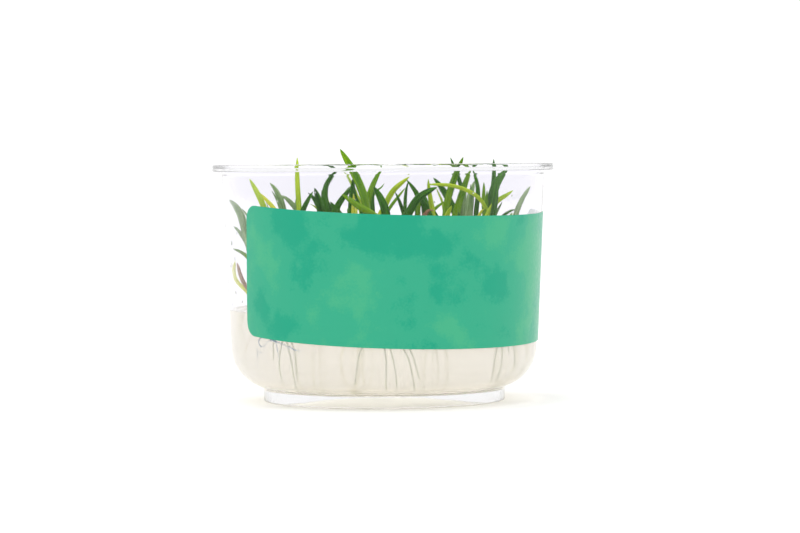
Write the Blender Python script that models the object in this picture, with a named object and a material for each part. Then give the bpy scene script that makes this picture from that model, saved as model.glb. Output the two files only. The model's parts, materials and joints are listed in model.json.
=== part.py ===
"""Shoreweed plantlets growing in nutrient gel, in their clear culture cup with its wrapped label.

Blender Python, metres, +Z up. The origin is the middle of the cup's foot, on the surface that it
stands on. The front of the label faces -Y. Sizes below are written in millimetres and multiplied by MM.
"""

import math

import bmesh
import bpy
from mathutils import Matrix, Vector

MM = 0.001
GAP = 0.3 * MM  # air between two pieces that touch
POCKET_GAP = 0.37 * MM  # from the corners of a faceted root, so that its flat sides keep the gap too

# Cup
CUP_HEIGHT = 70.4 * MM
RIM_RADIUS = 50.8 * MM
RIM_THICKNESS = 1.0 * MM
LIP_DEPTH = 2.1 * MM
LIP_WIDTH = 0.9 * MM
COLLAR_DEPTH = 3.05 * MM
COLLAR_RISE = 1.5 * MM  # height of the slope by which the wall steps out to the collar
COLLAR_STEP = 0.45 * MM
WALL = 1.0 * MM
CORNER_CENTRE_RADIUS = 33.1 * MM
CORNER_HEIGHT = 16.4 * MM
CORNER_RADIUS = 12.6 * MM
DRAFT = math.radians(2.6)
FOOT_RADIUS = 36.0 * MM
FOOT_WALL = 1.4 * MM
FOOT_CHAMFER = 0.3 * MM
DOME_RADIUS = 26.0 * MM  # the middle of the floor is pushed up a little
DOME_RISE = 2.6 * MM
DOME_STEPS = 2
CUP_SIDES = 48
CORNER_STEPS = 4

# Gel
GEL_TOP = 26.8 * MM

# Label
LABEL_LENGTH = 137.0 * MM
LABEL_HEIGHT = 38.1 * MM
LABEL_THICKNESS = 0.3 * MM
LABEL_CORNER = 4.2 * MM
LABEL_MIDDLE_ANGLE = math.radians(26.5)  # from the front, towards +X
LABEL_MIDDLE_HEIGHT = 37.0 * MM
LABEL_TILT = math.radians(-0.5)
LABEL_STEPS = 32
LABEL_CORNER_STEPS = 4

# Plantlets: a crown at the gel's surface, leaves round it and roots below it
CROWN_RADIUS = 1.7 * MM
CROWN_ABOVE = 1.8 * MM
CROWN_BELOW = 3.4 * MM
CROWN_SIDES = 8
CROWN_RINGS = 4
LEAF_RING_RADIUS = 2.55 * MM
LEAF_LINE_STEPS = 12  # between two points of its middle line
FRONT = Vector((0.0, -1.0, 0.0))
LEAF_FACING = 0.85  # how far a leaf has turned its wide side to the front at its tip
ROOT_RADIUS = 0.36 * MM
ROOT_SIDES = 5
ROOT_STEPS = 3
ROOT_START = 1.6 * MM  # below the gel's surface, inside the crown
ROOT_TAPER = 0.35

# A leaf's cross-section in shares of its width: across it, and towards the crown's axis.
LEAF_SECTION = ((-0.50, 0.14), (-0.24, -0.28), (0.24, -0.28), (0.50, 0.14), (0.0, 0.04))
# Along a leaf: how far up it, and the share of its full width there. It ends in a point.
LEAF_STATIONS = ((0.0, 1.0), (0.13, 0.9), (0.4, 1.0), (0.68, 1.0), (0.86, 0.88), (0.95, 0.56))

TONES = {
    "leaf_dark": (0.020, 0.130, 0.012),
    "leaf_mid": (0.070, 0.260, 0.030),
    "leaf_lime": (0.320, 0.480, 0.020),
    "leaf_pale": (0.180, 0.320, 0.130),
    "leaf_yellow": (0.620, 0.640, 0.050),
    "leaf_brown": (0.300, 0.130, 0.060),
}

# Each plantlet: where its crown stands, its leaves, and where its roots end, in millimetres.
# A leaf is its width, its tone, and the points that its middle line runs through, up to its tip.
PLANTLETS = {
    "left": {
        "crown": (-35.5, -3.0),
        "leaves": (
            (1.8, "leaf_pale", ((-40.6, -3.7, 51.4), (-42.7, -3.9, 57.1), (-45.5, -4.0, 60.3))),
            (1.0, "leaf_pale", ((-41.1, 1.6, 47.4), (-43.1, 2.4, 50.3), (-45.2, 3.0, 52.2))),
            (0.8, "leaf_mid", ((-40.9, -6.2, 43.7), (-42.8, -6.6, 45.0), (-44.6, -7.0, 45.7))),
            (0.8, "leaf_brown", ((-38.4, -9.4, 31.6), (-41.0, -10.6, 35.6), (-42.7, -13.0, 41.8))),
            (0.8, "leaf_yellow", ((-41.2, -2.1, 33.3), (-44.6, -1.4, 37.9), (-44.3, -1.0, 42.0))),
            (1.6, "leaf_mid", ((-34.1, 0.8, 42.0), (-32.0, 3.0, 50.3), (-30.7, 4.0, 54.0))),
        ),
        "roots": ((-37.5, -6.0, 11.5), (-33.0, -1.0, 9.0), (-36.0, 3.0, 14.0)),
    },
    "front_left": {
        "crown": (-26.0, -21.0),
        "leaves": (
            (1.3, "leaf_lime", ((-34.5, -23.3, 58.3), (-36.2, -23.7, 62.4), (-38.3, -24.0, 66.5))),
            (1.0, "leaf_yellow", ((-31.7, -19.3, 57.8), (-34.2, -19.1, 60.6), (-36.0, -19.0, 62.5))),
            (1.3, "leaf_pale", ((-29.6, -15.5, 57.7), (-31.0, -14.6, 62.6), (-33.2, -14.0, 65.2))),
            (1.1, "leaf_lime", ((-24.5, -20.3, 57.3), (-24.8, -20.2, 64.4), (-25.0, -20.0, 72.6))),
            (1.2, "leaf_dark", ((-23.2, -24.3, 57.5), (-22.2, -24.6, 59.5), (-20.2, -25.0, 62.7))),
            (1.7, "leaf_mid", ((-28.4, -26.4, 42.2), (-30.9, -29.3, 49.8), (-31.9, -31.0, 54.2))),
        ),
        "roots": ((-28.0, -24.0, 6.6), (-24.0, -23.0, 6.8), (-30.5, -25.0, 14.0), (-22.5, -19.0, 11.0)),
    },
    "middle_left": {
        "crown": (-17.0, 0.0),
        "leaves": (
            (1.3, "leaf_pale", ((-26.0, -2.5, 57.3), (-27.3, -2.7, 59.1), (-30.2, -3.0, 61.4))),
            (1.0, "leaf_dark", ((-19.1, -5.0, 57.5), (-20.0, -5.4, 59.6), (-22.2, -6.0, 62.2))),
            (1.7, "leaf_dark", ((-18.3, -8.9, 57.1), (-19.0, -9.9, 60.3), (-20.2, -11.0, 63.7))),
            (1.3, "leaf_dark", (
                (-16.8, 2.7, 56.4), (-17.9, 3.0, 60.0), (-16.3, 3.6, 65.6), (-13.4, 4.0, 69.2),
            )),
            (1.5, "leaf_dark", ((-14.1, -2.4, 57.3), (-11.5, -2.7, 61.1), (-9.2, -3.0, 63.5))),
        ),
        "roots": ((-20.0, -2.0, 10.0), (-16.0, -3.0, 8.6), (-14.0, 2.0, 12.0)),
    },
    "front": {
        "crown": (-1.0, -31.0),
        "leaves": (
            (1.8, "leaf_mid", (
                (-4.5, -32.2, 57.2), (-5.8, -32.4, 62.8), (-8.4, -32.7, 68.3), (-12.2, -33.0, 74.9),
            )),
            (1.5, "leaf_mid", (
                (-0.8, -34.3, 49.8), (-2.3, -35.3, 56.3), (-6.2, -36.0, 58.2), (-11.8, -37.0, 62.1),
            )),
            (1.1, "leaf_dark", ((-9.5, -28.7, 56.7), (-9.2, -28.5, 60.4), (-8.5, -28.0, 66.7))),
            (1.3, "leaf_mid", (
                (-4.6, -29.6, 57.5), (-3.7, -29.4, 61.5), (-2.2, -29.2, 66.0), (-0.2, -29.0, 69.0),
            )),
            (1.8, "leaf_dark", ((0.3, -32.9, 56.4), (-0.6, -33.2, 60.4), (-2.7, -33.5, 64.0))),
            (1.8, "leaf_dark", (
                (6.8, -27.4, 56.2), (8.8, -26.9, 59.6), (11.3, -26.6, 61.7), (15.6, -26.0, 63.7),
            )),
        ),
        "roots": (
            (-8.0, -29.0, 9.3),
            (0.5, -30.0, 8.0),
            (3.5, -33.0, 8.0),
            (8.6, -31.0, 7.5),
            (9.4, -27.0, 10.5),
        ),
    },
    "back_left": {
        "crown": (-6.0, 20.0),
        "leaves": (
            (1.3, "leaf_lime", (
                (0.1, 17.9, 57.0), (1.4, 17.6, 60.5), (4.0, 17.4, 63.4), (8.2, 17.0, 66.6),
            )),
            (0.8, "leaf_mid", ((1.5, 23.9, 56.4), (4.3, 24.5, 60.0), (7.0, 25.0, 63.2))),
            (0.8, "leaf_lime", ((-7.2, 17.1, 58.3), (-9.4, 16.4, 64.5), (-11.9, 16.0, 68.5))),
            (1.7, "leaf_mid", ((-8.3, 27.3, 47.1), (-9.8, 29.9, 54.1), (-11.1, 31.0, 56.9))),
        ),
        "roots": ((-9.0, 18.0, 9.0), (-4.0, 17.0, 11.0), (-5.0, 24.0, 8.0)),
    },
    "middle": {
        "crown": (12.0, -6.0),
        "leaves": (
            (0.9, "leaf_dark", ((5.9, -6.8, 56.2), (5.0, -6.9, 59.1), (3.6, -7.0, 62.2))),
            (0.8, "leaf_dark", ((6.8, -0.5, 57.1), (6.8, 0.3, 61.6), (7.6, 1.0, 65.3))),
            (1.1, "leaf_dark", ((10.2, -11.0, 55.6), (9.9, -12.1, 61.9), (6.8, -13.0, 65.9))),
            (2.1, "leaf_dark", ((12.8, -1.1, 55.9), (12.2, -0.5, 59.1), (11.4, 0.0, 62.3))),
            (1.1, "leaf_lime", ((14.4, -10.6, 57.2), (13.5, -11.4, 62.0), (13.3, -12.0, 66.0))),
            (0.9, "leaf_mid", ((13.7, -5.2, 55.2), (15.1, -5.1, 56.9), (18.6, -5.0, 59.4))),
        ),
        "roots": ((9.0, -8.0, 10.0), (13.0, -9.0, 8.0), (15.0, -4.0, 11.0)),
    },
    "back_right": {
        "crown": (24.0, 20.0),
        "leaves": (
            (1.6, "leaf_dark", (
                (22.2, 16.0, 55.1), (19.9, 15.2, 60.0), (17.6, 14.5, 63.8), (15.3, 14.0, 66.3),
            )),
            (1.6, "leaf_mid", (
                (22.5, 20.0, 57.0), (23.9, 20.0, 61.3), (25.1, 20.0, 64.6), (26.9, 20.0, 68.7),
            )),
            (1.1, "leaf_dark", (
                (28.4, 24.0, 54.9), (28.8, 24.5, 58.7), (29.1, 25.2, 63.7), (27.7, 26.0, 68.8),
            )),
            (1.6, "leaf_pale", ((26.7, 29.4, 54.8), (27.0, 30.8, 59.0), (28.6, 33.0, 65.1))),
            (1.0, "leaf_dark", (
                (24.5, 21.9, 56.3), (25.0, 22.2, 61.7), (23.0, 22.6, 66.6), (20.7, 23.0, 72.4),
            )),
            (1.5, "leaf_mid", (
                (18.8, 15.2, 54.9), (19.6, 14.3, 60.2), (22.3, 12.9, 67.8), (24.4, 12.0, 72.5),
            )),
        ),
        "roots": ((21.0, 18.0, 9.0), (26.0, 17.0, 7.5), (25.0, 23.0, 11.0)),
    },
    "front_right": {
        "crown": (31.0, -17.0),
        "leaves": (
            (0.9, "leaf_lime", (
                (30.1, -18.8, 57.6), (25.8, -19.2, 62.6), (19.7, -19.6, 64.1), (12.5, -20.0, 64.3),
            )),
            (2.0, "leaf_dark", (
                (30.8, -15.1, 55.5), (31.6, -14.7, 61.1), (33.3, -14.4, 65.2), (36.6, -14.0, 69.3),
            )),
            (1.3, "leaf_dark", ((32.0, -23.3, 56.9), (32.6, -24.3, 61.6), (32.9, -25.0, 64.8))),
            (1.2, "leaf_lime", (
                (30.9, -20.7, 56.2), (32.9, -21.2, 59.3), (34.5, -21.5, 60.4), (37.6, -22.0, 62.6),
            )),
            (1.1, "leaf_pale", ((39.3, -10.1, 55.7), (40.9, -9.1, 59.8), (43.6, -8.0, 63.8))),
            (1.1, "leaf_dark", (
                (31.3, -11.8, 56.1), (31.9, -11.2, 59.9), (32.8, -10.1, 65.5), (32.8, -9.0, 71.8),
            )),
        ),
        "roots": ((29.0, -20.0, 7.4), (30.5, -18.0, 7.0), (33.5, -19.0, 15.0), (35.0, -14.0, 12.0)),
    },
    "right": {
        "crown": (35.0, 9.0),
        "leaves": (
            (0.8, "leaf_dark", ((36.3, 3.8, 54.9), (38.7, 3.3, 56.3), (40.2, 3.0, 56.6))),
            (1.0, "leaf_mid", ((30.7, 7.5, 55.1), (30.5, 7.3, 59.7), (30.5, 7.0, 64.8))),
            (1.6, "leaf_mid", ((36.1, 14.8, 44.0), (38.4, 17.5, 51.3), (39.7, 19.0, 55.5))),
        ),
        "roots": ((33.0, 7.0, 9.0), (37.0, 8.0, 10.0), (36.0, 12.0, 12.5)),
    },
}


def clear_scene():
    for item in list(bpy.data.objects):
        bpy.data.objects.remove(item)


def material(name, colour, roughness, alpha=1.0, transmission=0.0):
    made = bpy.data.materials.new(name)
    made.use_nodes = True
    shader = made.node_tree.nodes["Principled BSDF"]
    shader.inputs["Base Color"].default_value = (*colour, 1.0)
    shader.inputs["Roughness"].default_value = roughness
    shader.inputs["Metallic"].default_value = 0.0
    shader.inputs["Alpha"].default_value = alpha
    shader.inputs["Transmission Weight"].default_value = transmission
    return made


def add_object(name, mesh, finish, helper=False):
    """Links a mesh under its node's name. A helper only shapes other pieces."""
    made = bpy.data.objects.new(name, mesh)
    mesh.materials.append(finish)
    bpy.context.scene.collection.objects.link(made)
    if helper:
        made.hide_render = True
        made.display_type = "WIRE"
    return made


def mesh_from(name, shape, smooth_angle=math.radians(40.0)):
    """Closes a bmesh into a mesh whose faces point out, shaded smooth except at sharp edges."""
    bmesh.ops.recalc_face_normals(shape, faces=shape.faces[:])
    if shape.calc_volume(signed=True) < 0.0:
        bmesh.ops.reverse_faces(shape, faces=shape.faces[:])
    mesh = bpy.data.meshes.new(name)
    shape.to_mesh(mesh)
    shape.free()
    mesh.shade_smooth()
    mesh.set_sharp_from_angle(angle=smooth_angle)
    return mesh


def turned(name, outline, sides):
    """A solid of revolution from an outline of (radius, height) that starts and ends on the axis."""
    shape = bmesh.new()
    points = [shape.verts.new((radius, 0.0, height)) for radius, height in outline]
    edges = [shape.edges.new(pair) for pair in zip(points, points[1:])]
    bmesh.ops.spin(
        shape,
        geom=points + edges,
        axis=(0.0, 0.0, 1.0),
        cent=(0.0, 0.0, 0.0),
        angle=2.0 * math.pi,
        steps=sides,
        use_merge=True,
    )
    bmesh.ops.remove_doubles(shape, verts=shape.verts[:], dist=0.01 * MM)
    return mesh_from(name, shape)


def arc(centre, radius, start, end, steps):
    """Points on an arc of a profile, both ends included, from angle start to angle end."""
    points = []
    for step in range(steps + 1):
        angle = start + (end - start) * step / steps
        points.append((centre[0] + radius * math.cos(angle), centre[1] + radius * math.sin(angle)))
    return points


def wall_radius(height):
    """The cup's outer radius on its straight, drafted wall."""
    foot_of_wall = CORNER_HEIGHT - CORNER_RADIUS * math.sin(DRAFT)
    at_foot = CORNER_CENTRE_RADIUS + CORNER_RADIUS * math.cos(DRAFT)
    return at_foot + (height - foot_of_wall) * math.tan(DRAFT)


def dome(floor):
    """Points of the floor's shallow dome, from its middle to its edge, over a floor of this height."""
    ball = (DOME_RADIUS**2 + DOME_RISE**2) / (2.0 * DOME_RISE)
    points = []
    for step in range(DOME_STEPS + 1):
        radius = DOME_RADIUS * step / DOME_STEPS
        points.append((radius, floor + DOME_RISE - ball + math.sqrt(ball**2 - radius**2)))
    return points


def cup_outline():
    """From the middle of the floor up the inside, over the rim, down the outside and under the foot."""
    corner = (CORNER_CENTRE_RADIUS, CORNER_HEIGHT)
    floor_top = CORNER_HEIGHT - CORNER_RADIUS + WALL
    floor_under = CORNER_HEIGHT - CORNER_RADIUS
    shoulder = CUP_HEIGHT - COLLAR_DEPTH
    collar = shoulder + COLLAR_RISE
    collar_inside = wall_radius(CUP_HEIGHT) - WALL + COLLAR_STEP
    collar_outside = wall_radius(CUP_HEIGHT) + COLLAR_STEP
    foot_joint = -math.acos((FOOT_RADIUS - CORNER_CENTRE_RADIUS) / CORNER_RADIUS)
    inside = dome(floor_top) + arc(corner, CORNER_RADIUS - WALL, -math.pi / 2, -DRAFT, CORNER_STEPS)
    inside += [
        (wall_radius(shoulder) - WALL, shoulder),
        (wall_radius(collar) - WALL + COLLAR_STEP, collar),
        (collar_inside, CUP_HEIGHT),
    ]
    rim = [
        (RIM_RADIUS, CUP_HEIGHT),
        (RIM_RADIUS, CUP_HEIGHT - LIP_DEPTH),
        (RIM_RADIUS - LIP_WIDTH, CUP_HEIGHT - LIP_DEPTH),
        (RIM_RADIUS - LIP_WIDTH, CUP_HEIGHT - RIM_THICKNESS),
        (collar_outside, CUP_HEIGHT - RIM_THICKNESS),
        (wall_radius(collar) + COLLAR_STEP, collar),
        (wall_radius(shoulder), shoulder),
    ]
    outside = arc(corner, CORNER_RADIUS, -DRAFT, foot_joint, CORNER_STEPS)
    foot = [
        (FOOT_RADIUS, FOOT_CHAMFER),
        (FOOT_RADIUS - FOOT_CHAMFER, 0.0),
        (FOOT_RADIUS - FOOT_WALL + FOOT_CHAMFER, 0.0),
        (FOOT_RADIUS - FOOT_WALL, FOOT_CHAMFER),
        (FOOT_RADIUS - FOOT_WALL, floor_under),
    ]
    return inside + rim + outside + foot + dome(floor_under)[::-1]


def gel_outline():
    """The gel fills the cup's rounded bottom, a gap inside the wall, up to its level surface."""
    corner = (CORNER_CENTRE_RADIUS, CORNER_HEIGHT)
    inset = CORNER_RADIUS - WALL - GAP
    bottom = dome(CORNER_HEIGHT - inset)
    side = arc(corner, inset, -math.pi / 2, -DRAFT, CORNER_STEPS)
    return bottom + side + [(wall_radius(GEL_TOP) - WALL - GAP, GEL_TOP), (0.0, GEL_TOP)]


def label_columns():
    """Distances along the label, closer together round its corners."""
    half = LABEL_LENGTH / 2
    corner = []
    for step in range(LABEL_CORNER_STEPS + 1):
        corner.append(LABEL_CORNER * (1.0 - math.cos(0.5 * math.pi * step / LABEL_CORNER_STEPS)))
    inner = half - LABEL_CORNER
    middle = [-inner + 2.0 * inner * step / LABEL_STEPS for step in range(1, LABEL_STEPS)]
    return [-half + inset for inset in corner] + middle + [half - inset for inset in reversed(corner)]


def label_half_height(along):
    """Half the label's height at a distance from its middle, less where its corners are rounded."""
    short = max(0.0, abs(along) - (LABEL_LENGTH / 2 - LABEL_CORNER))
    return LABEL_HEIGHT / 2 - LABEL_CORNER + math.sqrt(max(0.0, LABEL_CORNER**2 - short**2))


def on_wall(along, up, proud):
    """A point of the flat label laid on the wall: a cone, which unrolls to a sector about its apex."""
    to_middle = wall_radius(LABEL_MIDDLE_HEIGHT) / math.sin(DRAFT)
    across = along * math.cos(LABEL_TILT) - up * math.sin(LABEL_TILT)
    outward = to_middle + along * math.sin(LABEL_TILT) + up * math.cos(LABEL_TILT)
    from_apex = math.hypot(across, outward)
    angle = LABEL_MIDDLE_ANGLE + math.atan2(across, outward) / math.sin(DRAFT)
    radius = from_apex * math.sin(DRAFT) + proud
    height = LABEL_MIDDLE_HEIGHT + (from_apex - to_middle) * math.cos(DRAFT)
    return Vector((radius * math.sin(angle), -radius * math.cos(angle), height))


def label_mesh():
    shape = bmesh.new()
    rings = []
    for along in label_columns():
        tall = label_half_height(along)
        corners = [(-tall, GAP), (-tall, GAP + LABEL_THICKNESS), (tall, GAP + LABEL_THICKNESS), (tall, GAP)]
        rings.append([shape.verts.new(on_wall(along, up, proud)) for up, proud in corners])
    skin_rings(shape, rings)
    shape.faces.new(rings[0])
    shape.faces.new(rings[-1])
    return mesh_from("label", shape)


def skin_rings(shape, rings):
    """Faces between one ring of points and the next."""
    for near, far in zip(rings, rings[1:]):
        count = len(near)
        for side in range(count):
            following = (side + 1) % count
            shape.faces.new((near[side], near[following], far[following], far[side]))


def along_curve(start, bend, end, share):
    """A point and direction on the curve from start to end that bend pulls aside."""
    left = 1.0 - share
    point = start * left**2 + bend * (2.0 * left * share) + end * share**2
    direction = (bend - start) * left + (end - bend) * share
    return point, direction.normalized()


def knot_slopes(knots):
    """The direction of a smooth line at each of its points. It leaves the first one upright."""
    runs = [(there - here).normalized() for here, there in zip(knots, knots[1:])]
    sizes = [(there - here).length for here, there in zip(knots, knots[1:])]
    slopes = [Vector((0.0, 0.0, 1.0))]
    for place in range(1, len(runs)):
        near, far = sizes[place - 1], sizes[place]
        slopes.append((runs[place - 1] * far + runs[place] * near) / (near + far))
    return slopes + [runs[-1]]


def leaf_line(knots):
    """Points close together on the smooth line through the knots."""
    slopes = knot_slopes(knots)
    line = [knots[0]]
    for place in range(len(knots) - 1):
        here, there = knots[place], knots[place + 1]
        size = (there - here).length
        for step in range(1, LEAF_LINE_STEPS + 1):
            part = step / LEAF_LINE_STEPS
            late = part * part * (3.0 - 2.0 * part)
            leaving = slopes[place] * (size * part * (1.0 - part) ** 2)
            arriving = slopes[place + 1] * (size * part**2 * (part - 1.0))
            line.append(here.lerp(there, late) + leaving + arriving)
    return line


def point_on(line, share):
    """The point that far along a line, and the line's direction there."""
    sizes = [(there - here).length for here, there in zip(line, line[1:])]
    left = sum(sizes) * share
    place = 0
    while left > sizes[place] and place < len(sizes) - 1:
        left -= sizes[place]
        place += 1
    here, there = line[place], line[place + 1]
    return here.lerp(there, left / sizes[place]), (there - here).normalized()


def leaf_mesh(name, knots, width, outward):
    """One leaf: a channelled blade that widens to a sheath at its base and ends in a point."""
    shape = bmesh.new()
    line = leaf_line(knots)
    level_side = Vector((-outward.y, outward.x, 0.0))
    rings = []
    for share, wide in LEAF_STATIONS:
        centre, direction = point_on(line, share)
        if share == 0.0:
            direction = Vector((0.0, 0.0, 1.0))
        to_front = direction.cross(FRONT)
        if to_front.dot(level_side) < 0.0:
            to_front.negate()
        side = level_side.lerp(to_front, LEAF_FACING * share)
        side = (side - direction * side.dot(direction)).normalized()
        inward = direction.cross(side)
        section = [side * across + inward * deep for across, deep in LEAF_SECTION]
        rings.append([shape.verts.new(centre + offset * width * wide) for offset in section])
    skin_rings(shape, rings)
    shape.faces.new(rings[0])
    point = shape.verts.new(knots[-1])
    last = rings[-1]
    for side in range(len(last)):
        shape.faces.new((last[side], last[(side + 1) % len(last)], point))
    return mesh_from(name, shape)


def root_rings(shape, crown, end, radius, grow):
    """A root's tube from inside the crown down to its end, leaning out first and then growing down."""
    start = crown - Vector((0.0, 0.0, ROOT_START))
    bend = start.lerp(end, 0.7)
    bend.z = (start.z + end.z) / 2
    end = end + (end - bend).normalized() * grow
    rings = []
    for step in range(ROOT_STEPS + 1):
        share = step / ROOT_STEPS
        centre, direction = along_curve(start, bend, end, share)
        turn = Vector((0.0, 0.0, -1.0)).rotation_difference(direction)
        thick = radius * (1.0 - ROOT_TAPER * share) + grow
        ring = []
        for side in range(ROOT_SIDES):
            angle = 2.0 * math.pi * side / ROOT_SIDES
            spoke = Vector((math.cos(angle), math.sin(angle), 0.0)) * thick
            ring.append(shape.verts.new(centre + turn @ spoke))
        rings.append(ring)
    skin_rings(shape, rings)
    shape.faces.new(rings[0])
    shape.faces.new(rings[-1])


def roots_mesh(name, crown, ends, grow=0.0):
    shape = bmesh.new()
    for end in ends:
        root_rings(shape, crown, Vector(end) * MM, ROOT_RADIUS, grow)
    return mesh_from(name, shape)


def crown_mesh(name, crown, grow=0.0):
    """The plantlet's short stem: an egg shape, half sunk in the gel."""
    shape = bmesh.new()
    tall = (CROWN_ABOVE + CROWN_BELOW) / 2 + grow
    middle = crown + Vector((0.0, 0.0, (CROWN_ABOVE - CROWN_BELOW) / 2))
    wide = CROWN_RADIUS + grow
    place = Matrix.Translation(middle) @ Matrix.Diagonal((wide, wide, tall, 1.0))
    bmesh.ops.create_uvsphere(
        shape, u_segments=CROWN_SIDES, v_segments=CROWN_RINGS, radius=1.0, matrix=place
    )
    return mesh_from(name, shape)


def add_boolean(target, cutter, operation):
    step = target.modifiers.new(cutter.name, "BOOLEAN")
    step.operation = operation
    step.object = cutter
    step.use_self = True


def leaf_order(crown, leaves):
    """The leaves by the direction that they lean in, so that neighbours don't cross."""
    def lean(leaf):
        tip = leaf[2][-1]
        return math.atan2(tip[1] * MM - crown.y, tip[0] * MM - crown.x)

    ordered = sorted(leaves, key=lean)
    return ordered, [lean(leaf) for leaf in ordered]


def even_start(leans):
    """The first base's angle that keeps evenly spaced bases nearest to the directions of the leaves."""
    spacing = 2.0 * math.pi / len(leans)
    east = sum(math.cos(angle - spacing * place) for place, angle in enumerate(leans))
    north = sum(math.sin(angle - spacing * place) for place, angle in enumerate(leans))
    return math.atan2(north, east)


def add_leaves(plantlet, crown, leaves, finishes):
    ordered, leans = leaf_order(crown, leaves)
    first = even_start(leans)
    for place, (width, tone, points) in enumerate(ordered):
        angle = first + 2.0 * math.pi * place / len(ordered)
        outward = Vector((math.cos(angle), math.sin(angle), 0.0))
        base = crown + outward * LEAF_RING_RADIUS + Vector((0.0, 0.0, GAP))
        name = f"leaf_{plantlet}_{place + 1}"
        knots = [base] + [Vector(point) * MM for point in points]
        add_object(name, leaf_mesh(name, knots, width * MM, outward), finishes[tone])


def add_plantlet(plantlet, facts, gel, finishes):
    """Leaves, and a crown with its roots that sits in a pocket cut for it in the gel."""
    crown = Vector((facts["crown"][0] * MM, facts["crown"][1] * MM, GEL_TOP))
    finish = finishes["crown"]
    body = add_object(f"crown_{plantlet}", crown_mesh(f"crown_{plantlet}", crown), finish)
    roots = add_object(f"roots_{plantlet}", roots_mesh("roots", crown, facts["roots"]), finish, helper=True)
    add_boolean(body, roots, "UNION")
    pocket = add_object(f"pocket_{plantlet}", crown_mesh("pocket", crown, POCKET_GAP), finish, helper=True)
    ways = roots_mesh("ways", crown, facts["roots"], POCKET_GAP)
    ways = add_object(f"ways_{plantlet}", ways, finish, helper=True)
    add_boolean(pocket, ways, "UNION")
    add_boolean(gel, pocket, "DIFFERENCE")
    add_leaves(plantlet, crown, facts["leaves"], finishes)


def main():
    clear_scene()
    finishes = {tone: material(tone, colour, 0.4) for tone, colour in TONES.items()}
    finishes["crown"] = material("crown", (0.62, 0.66, 0.45), 0.5)
    clear = material("clear_plastic", (0.97, 0.97, 1.0), 0.05, alpha=0.3, transmission=1.0)
    jelly = material("gel", (0.93, 0.88, 0.76), 0.3, alpha=0.7, transmission=0.6)
    paper = material("label", (0.045, 0.42, 0.26), 0.35)
    add_object("cup", turned("cup", cup_outline(), CUP_SIDES), clear)
    gel = add_object("gel", turned("gel", gel_outline(), CUP_SIDES), jelly)
    add_object("label", label_mesh(), paper)
    for plantlet, facts in PLANTLETS.items():
        add_plantlet(plantlet, facts, gel, finishes)


main()
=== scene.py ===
# %% [markdown]
# # Shoreweed plantlets in a clear culture cup
# This lesson dresses the solids of a plant cup: thin clear plastic, a cloudy set gel, a wrapped
# label and tufts of narrow green leaves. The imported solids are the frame. They say where each
# piece is and how big it is, and everything that is modelled here is laid on them.

# %% Load the frame
import json
import math
import random

import bpy
import numpy as np
from mathutils import Matrix, Vector


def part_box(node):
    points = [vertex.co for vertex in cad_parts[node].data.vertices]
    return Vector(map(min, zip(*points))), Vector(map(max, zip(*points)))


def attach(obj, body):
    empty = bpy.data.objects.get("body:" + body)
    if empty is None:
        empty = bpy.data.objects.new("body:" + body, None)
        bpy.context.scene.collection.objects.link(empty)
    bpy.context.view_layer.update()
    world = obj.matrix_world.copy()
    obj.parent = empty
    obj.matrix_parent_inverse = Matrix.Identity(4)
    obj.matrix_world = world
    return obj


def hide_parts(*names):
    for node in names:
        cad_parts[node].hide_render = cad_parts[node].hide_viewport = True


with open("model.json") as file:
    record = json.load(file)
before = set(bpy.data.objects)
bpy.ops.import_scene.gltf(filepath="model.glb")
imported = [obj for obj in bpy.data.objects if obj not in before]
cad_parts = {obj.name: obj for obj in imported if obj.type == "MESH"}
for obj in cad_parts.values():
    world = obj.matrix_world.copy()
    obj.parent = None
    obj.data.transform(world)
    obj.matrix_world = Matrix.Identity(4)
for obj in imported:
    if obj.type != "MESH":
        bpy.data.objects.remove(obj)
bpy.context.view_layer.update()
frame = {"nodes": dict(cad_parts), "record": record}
nodes = frame["nodes"]
slots = {row["node"]: row["material_slot"] for row in frame["record"]["subparts"]}
MM = 0.001
print("solids in the frame:", len(nodes))

# %% [markdown]
# ## Small tools
# An operator works on everything that is selected, so each step first selects one piece alone.
# A modifier is applied as soon as it is set, so that a piece's mesh is its final shape, and a
# finished piece has its place in its mesh, like the solids that it stands with.


# %% Select, apply and hand over
def pick_only(piece):
    """Leaves one object selected and active."""
    bpy.ops.object.select_all(action="DESELECT")
    piece.select_set(True)
    bpy.context.view_layer.objects.active = piece


def started(name, add, **settings):
    """A new object from one of the operators that add things, with nothing else selected."""
    bpy.ops.object.select_all(action="DESELECT")
    add(**settings)
    bpy.context.object.name = name
    return bpy.context.object


def settle(piece):
    """Puts a piece's place, turn and size into its mesh."""
    pick_only(piece)
    bpy.ops.object.transform_apply(location=True, rotation=True, scale=True)


def apply_step(piece, kind, **settings):
    """Adds one modifier with these settings, and applies it."""
    pick_only(piece)
    step = piece.modifiers.new(kind.title(), kind)
    for name, value in settings.items():
        setattr(step, name, value)
    bpy.ops.object.modifier_apply(modifier=step.name)


def edit(piece, select="SELECT"):
    """Opens one piece in edit mode, with all of it selected or nothing."""
    pick_only(piece)
    bpy.ops.object.mode_set(mode="EDIT")
    bpy.ops.mesh.select_all(action=select)


def leave_edit():
    bpy.ops.object.mode_set(mode="OBJECT")


def face_outwards():
    """Points every face of the piece in edit mode outwards, and leaves edit mode."""
    bpy.ops.mesh.select_all(action="SELECT")
    bpy.ops.mesh.normals_make_consistent(inside=False)
    leave_edit()


def finish_piece(piece, slot, *cad_nodes):
    """Puts the piece's place into its mesh, and hands the piece to the frame's one body."""
    settle(piece)
    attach(piece, "root")
    if cad_nodes:
        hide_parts(*cad_nodes)
    print(piece.name, len(piece.data.polygons), "faces")


print("ready to start, shape and hand over pieces")

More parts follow.
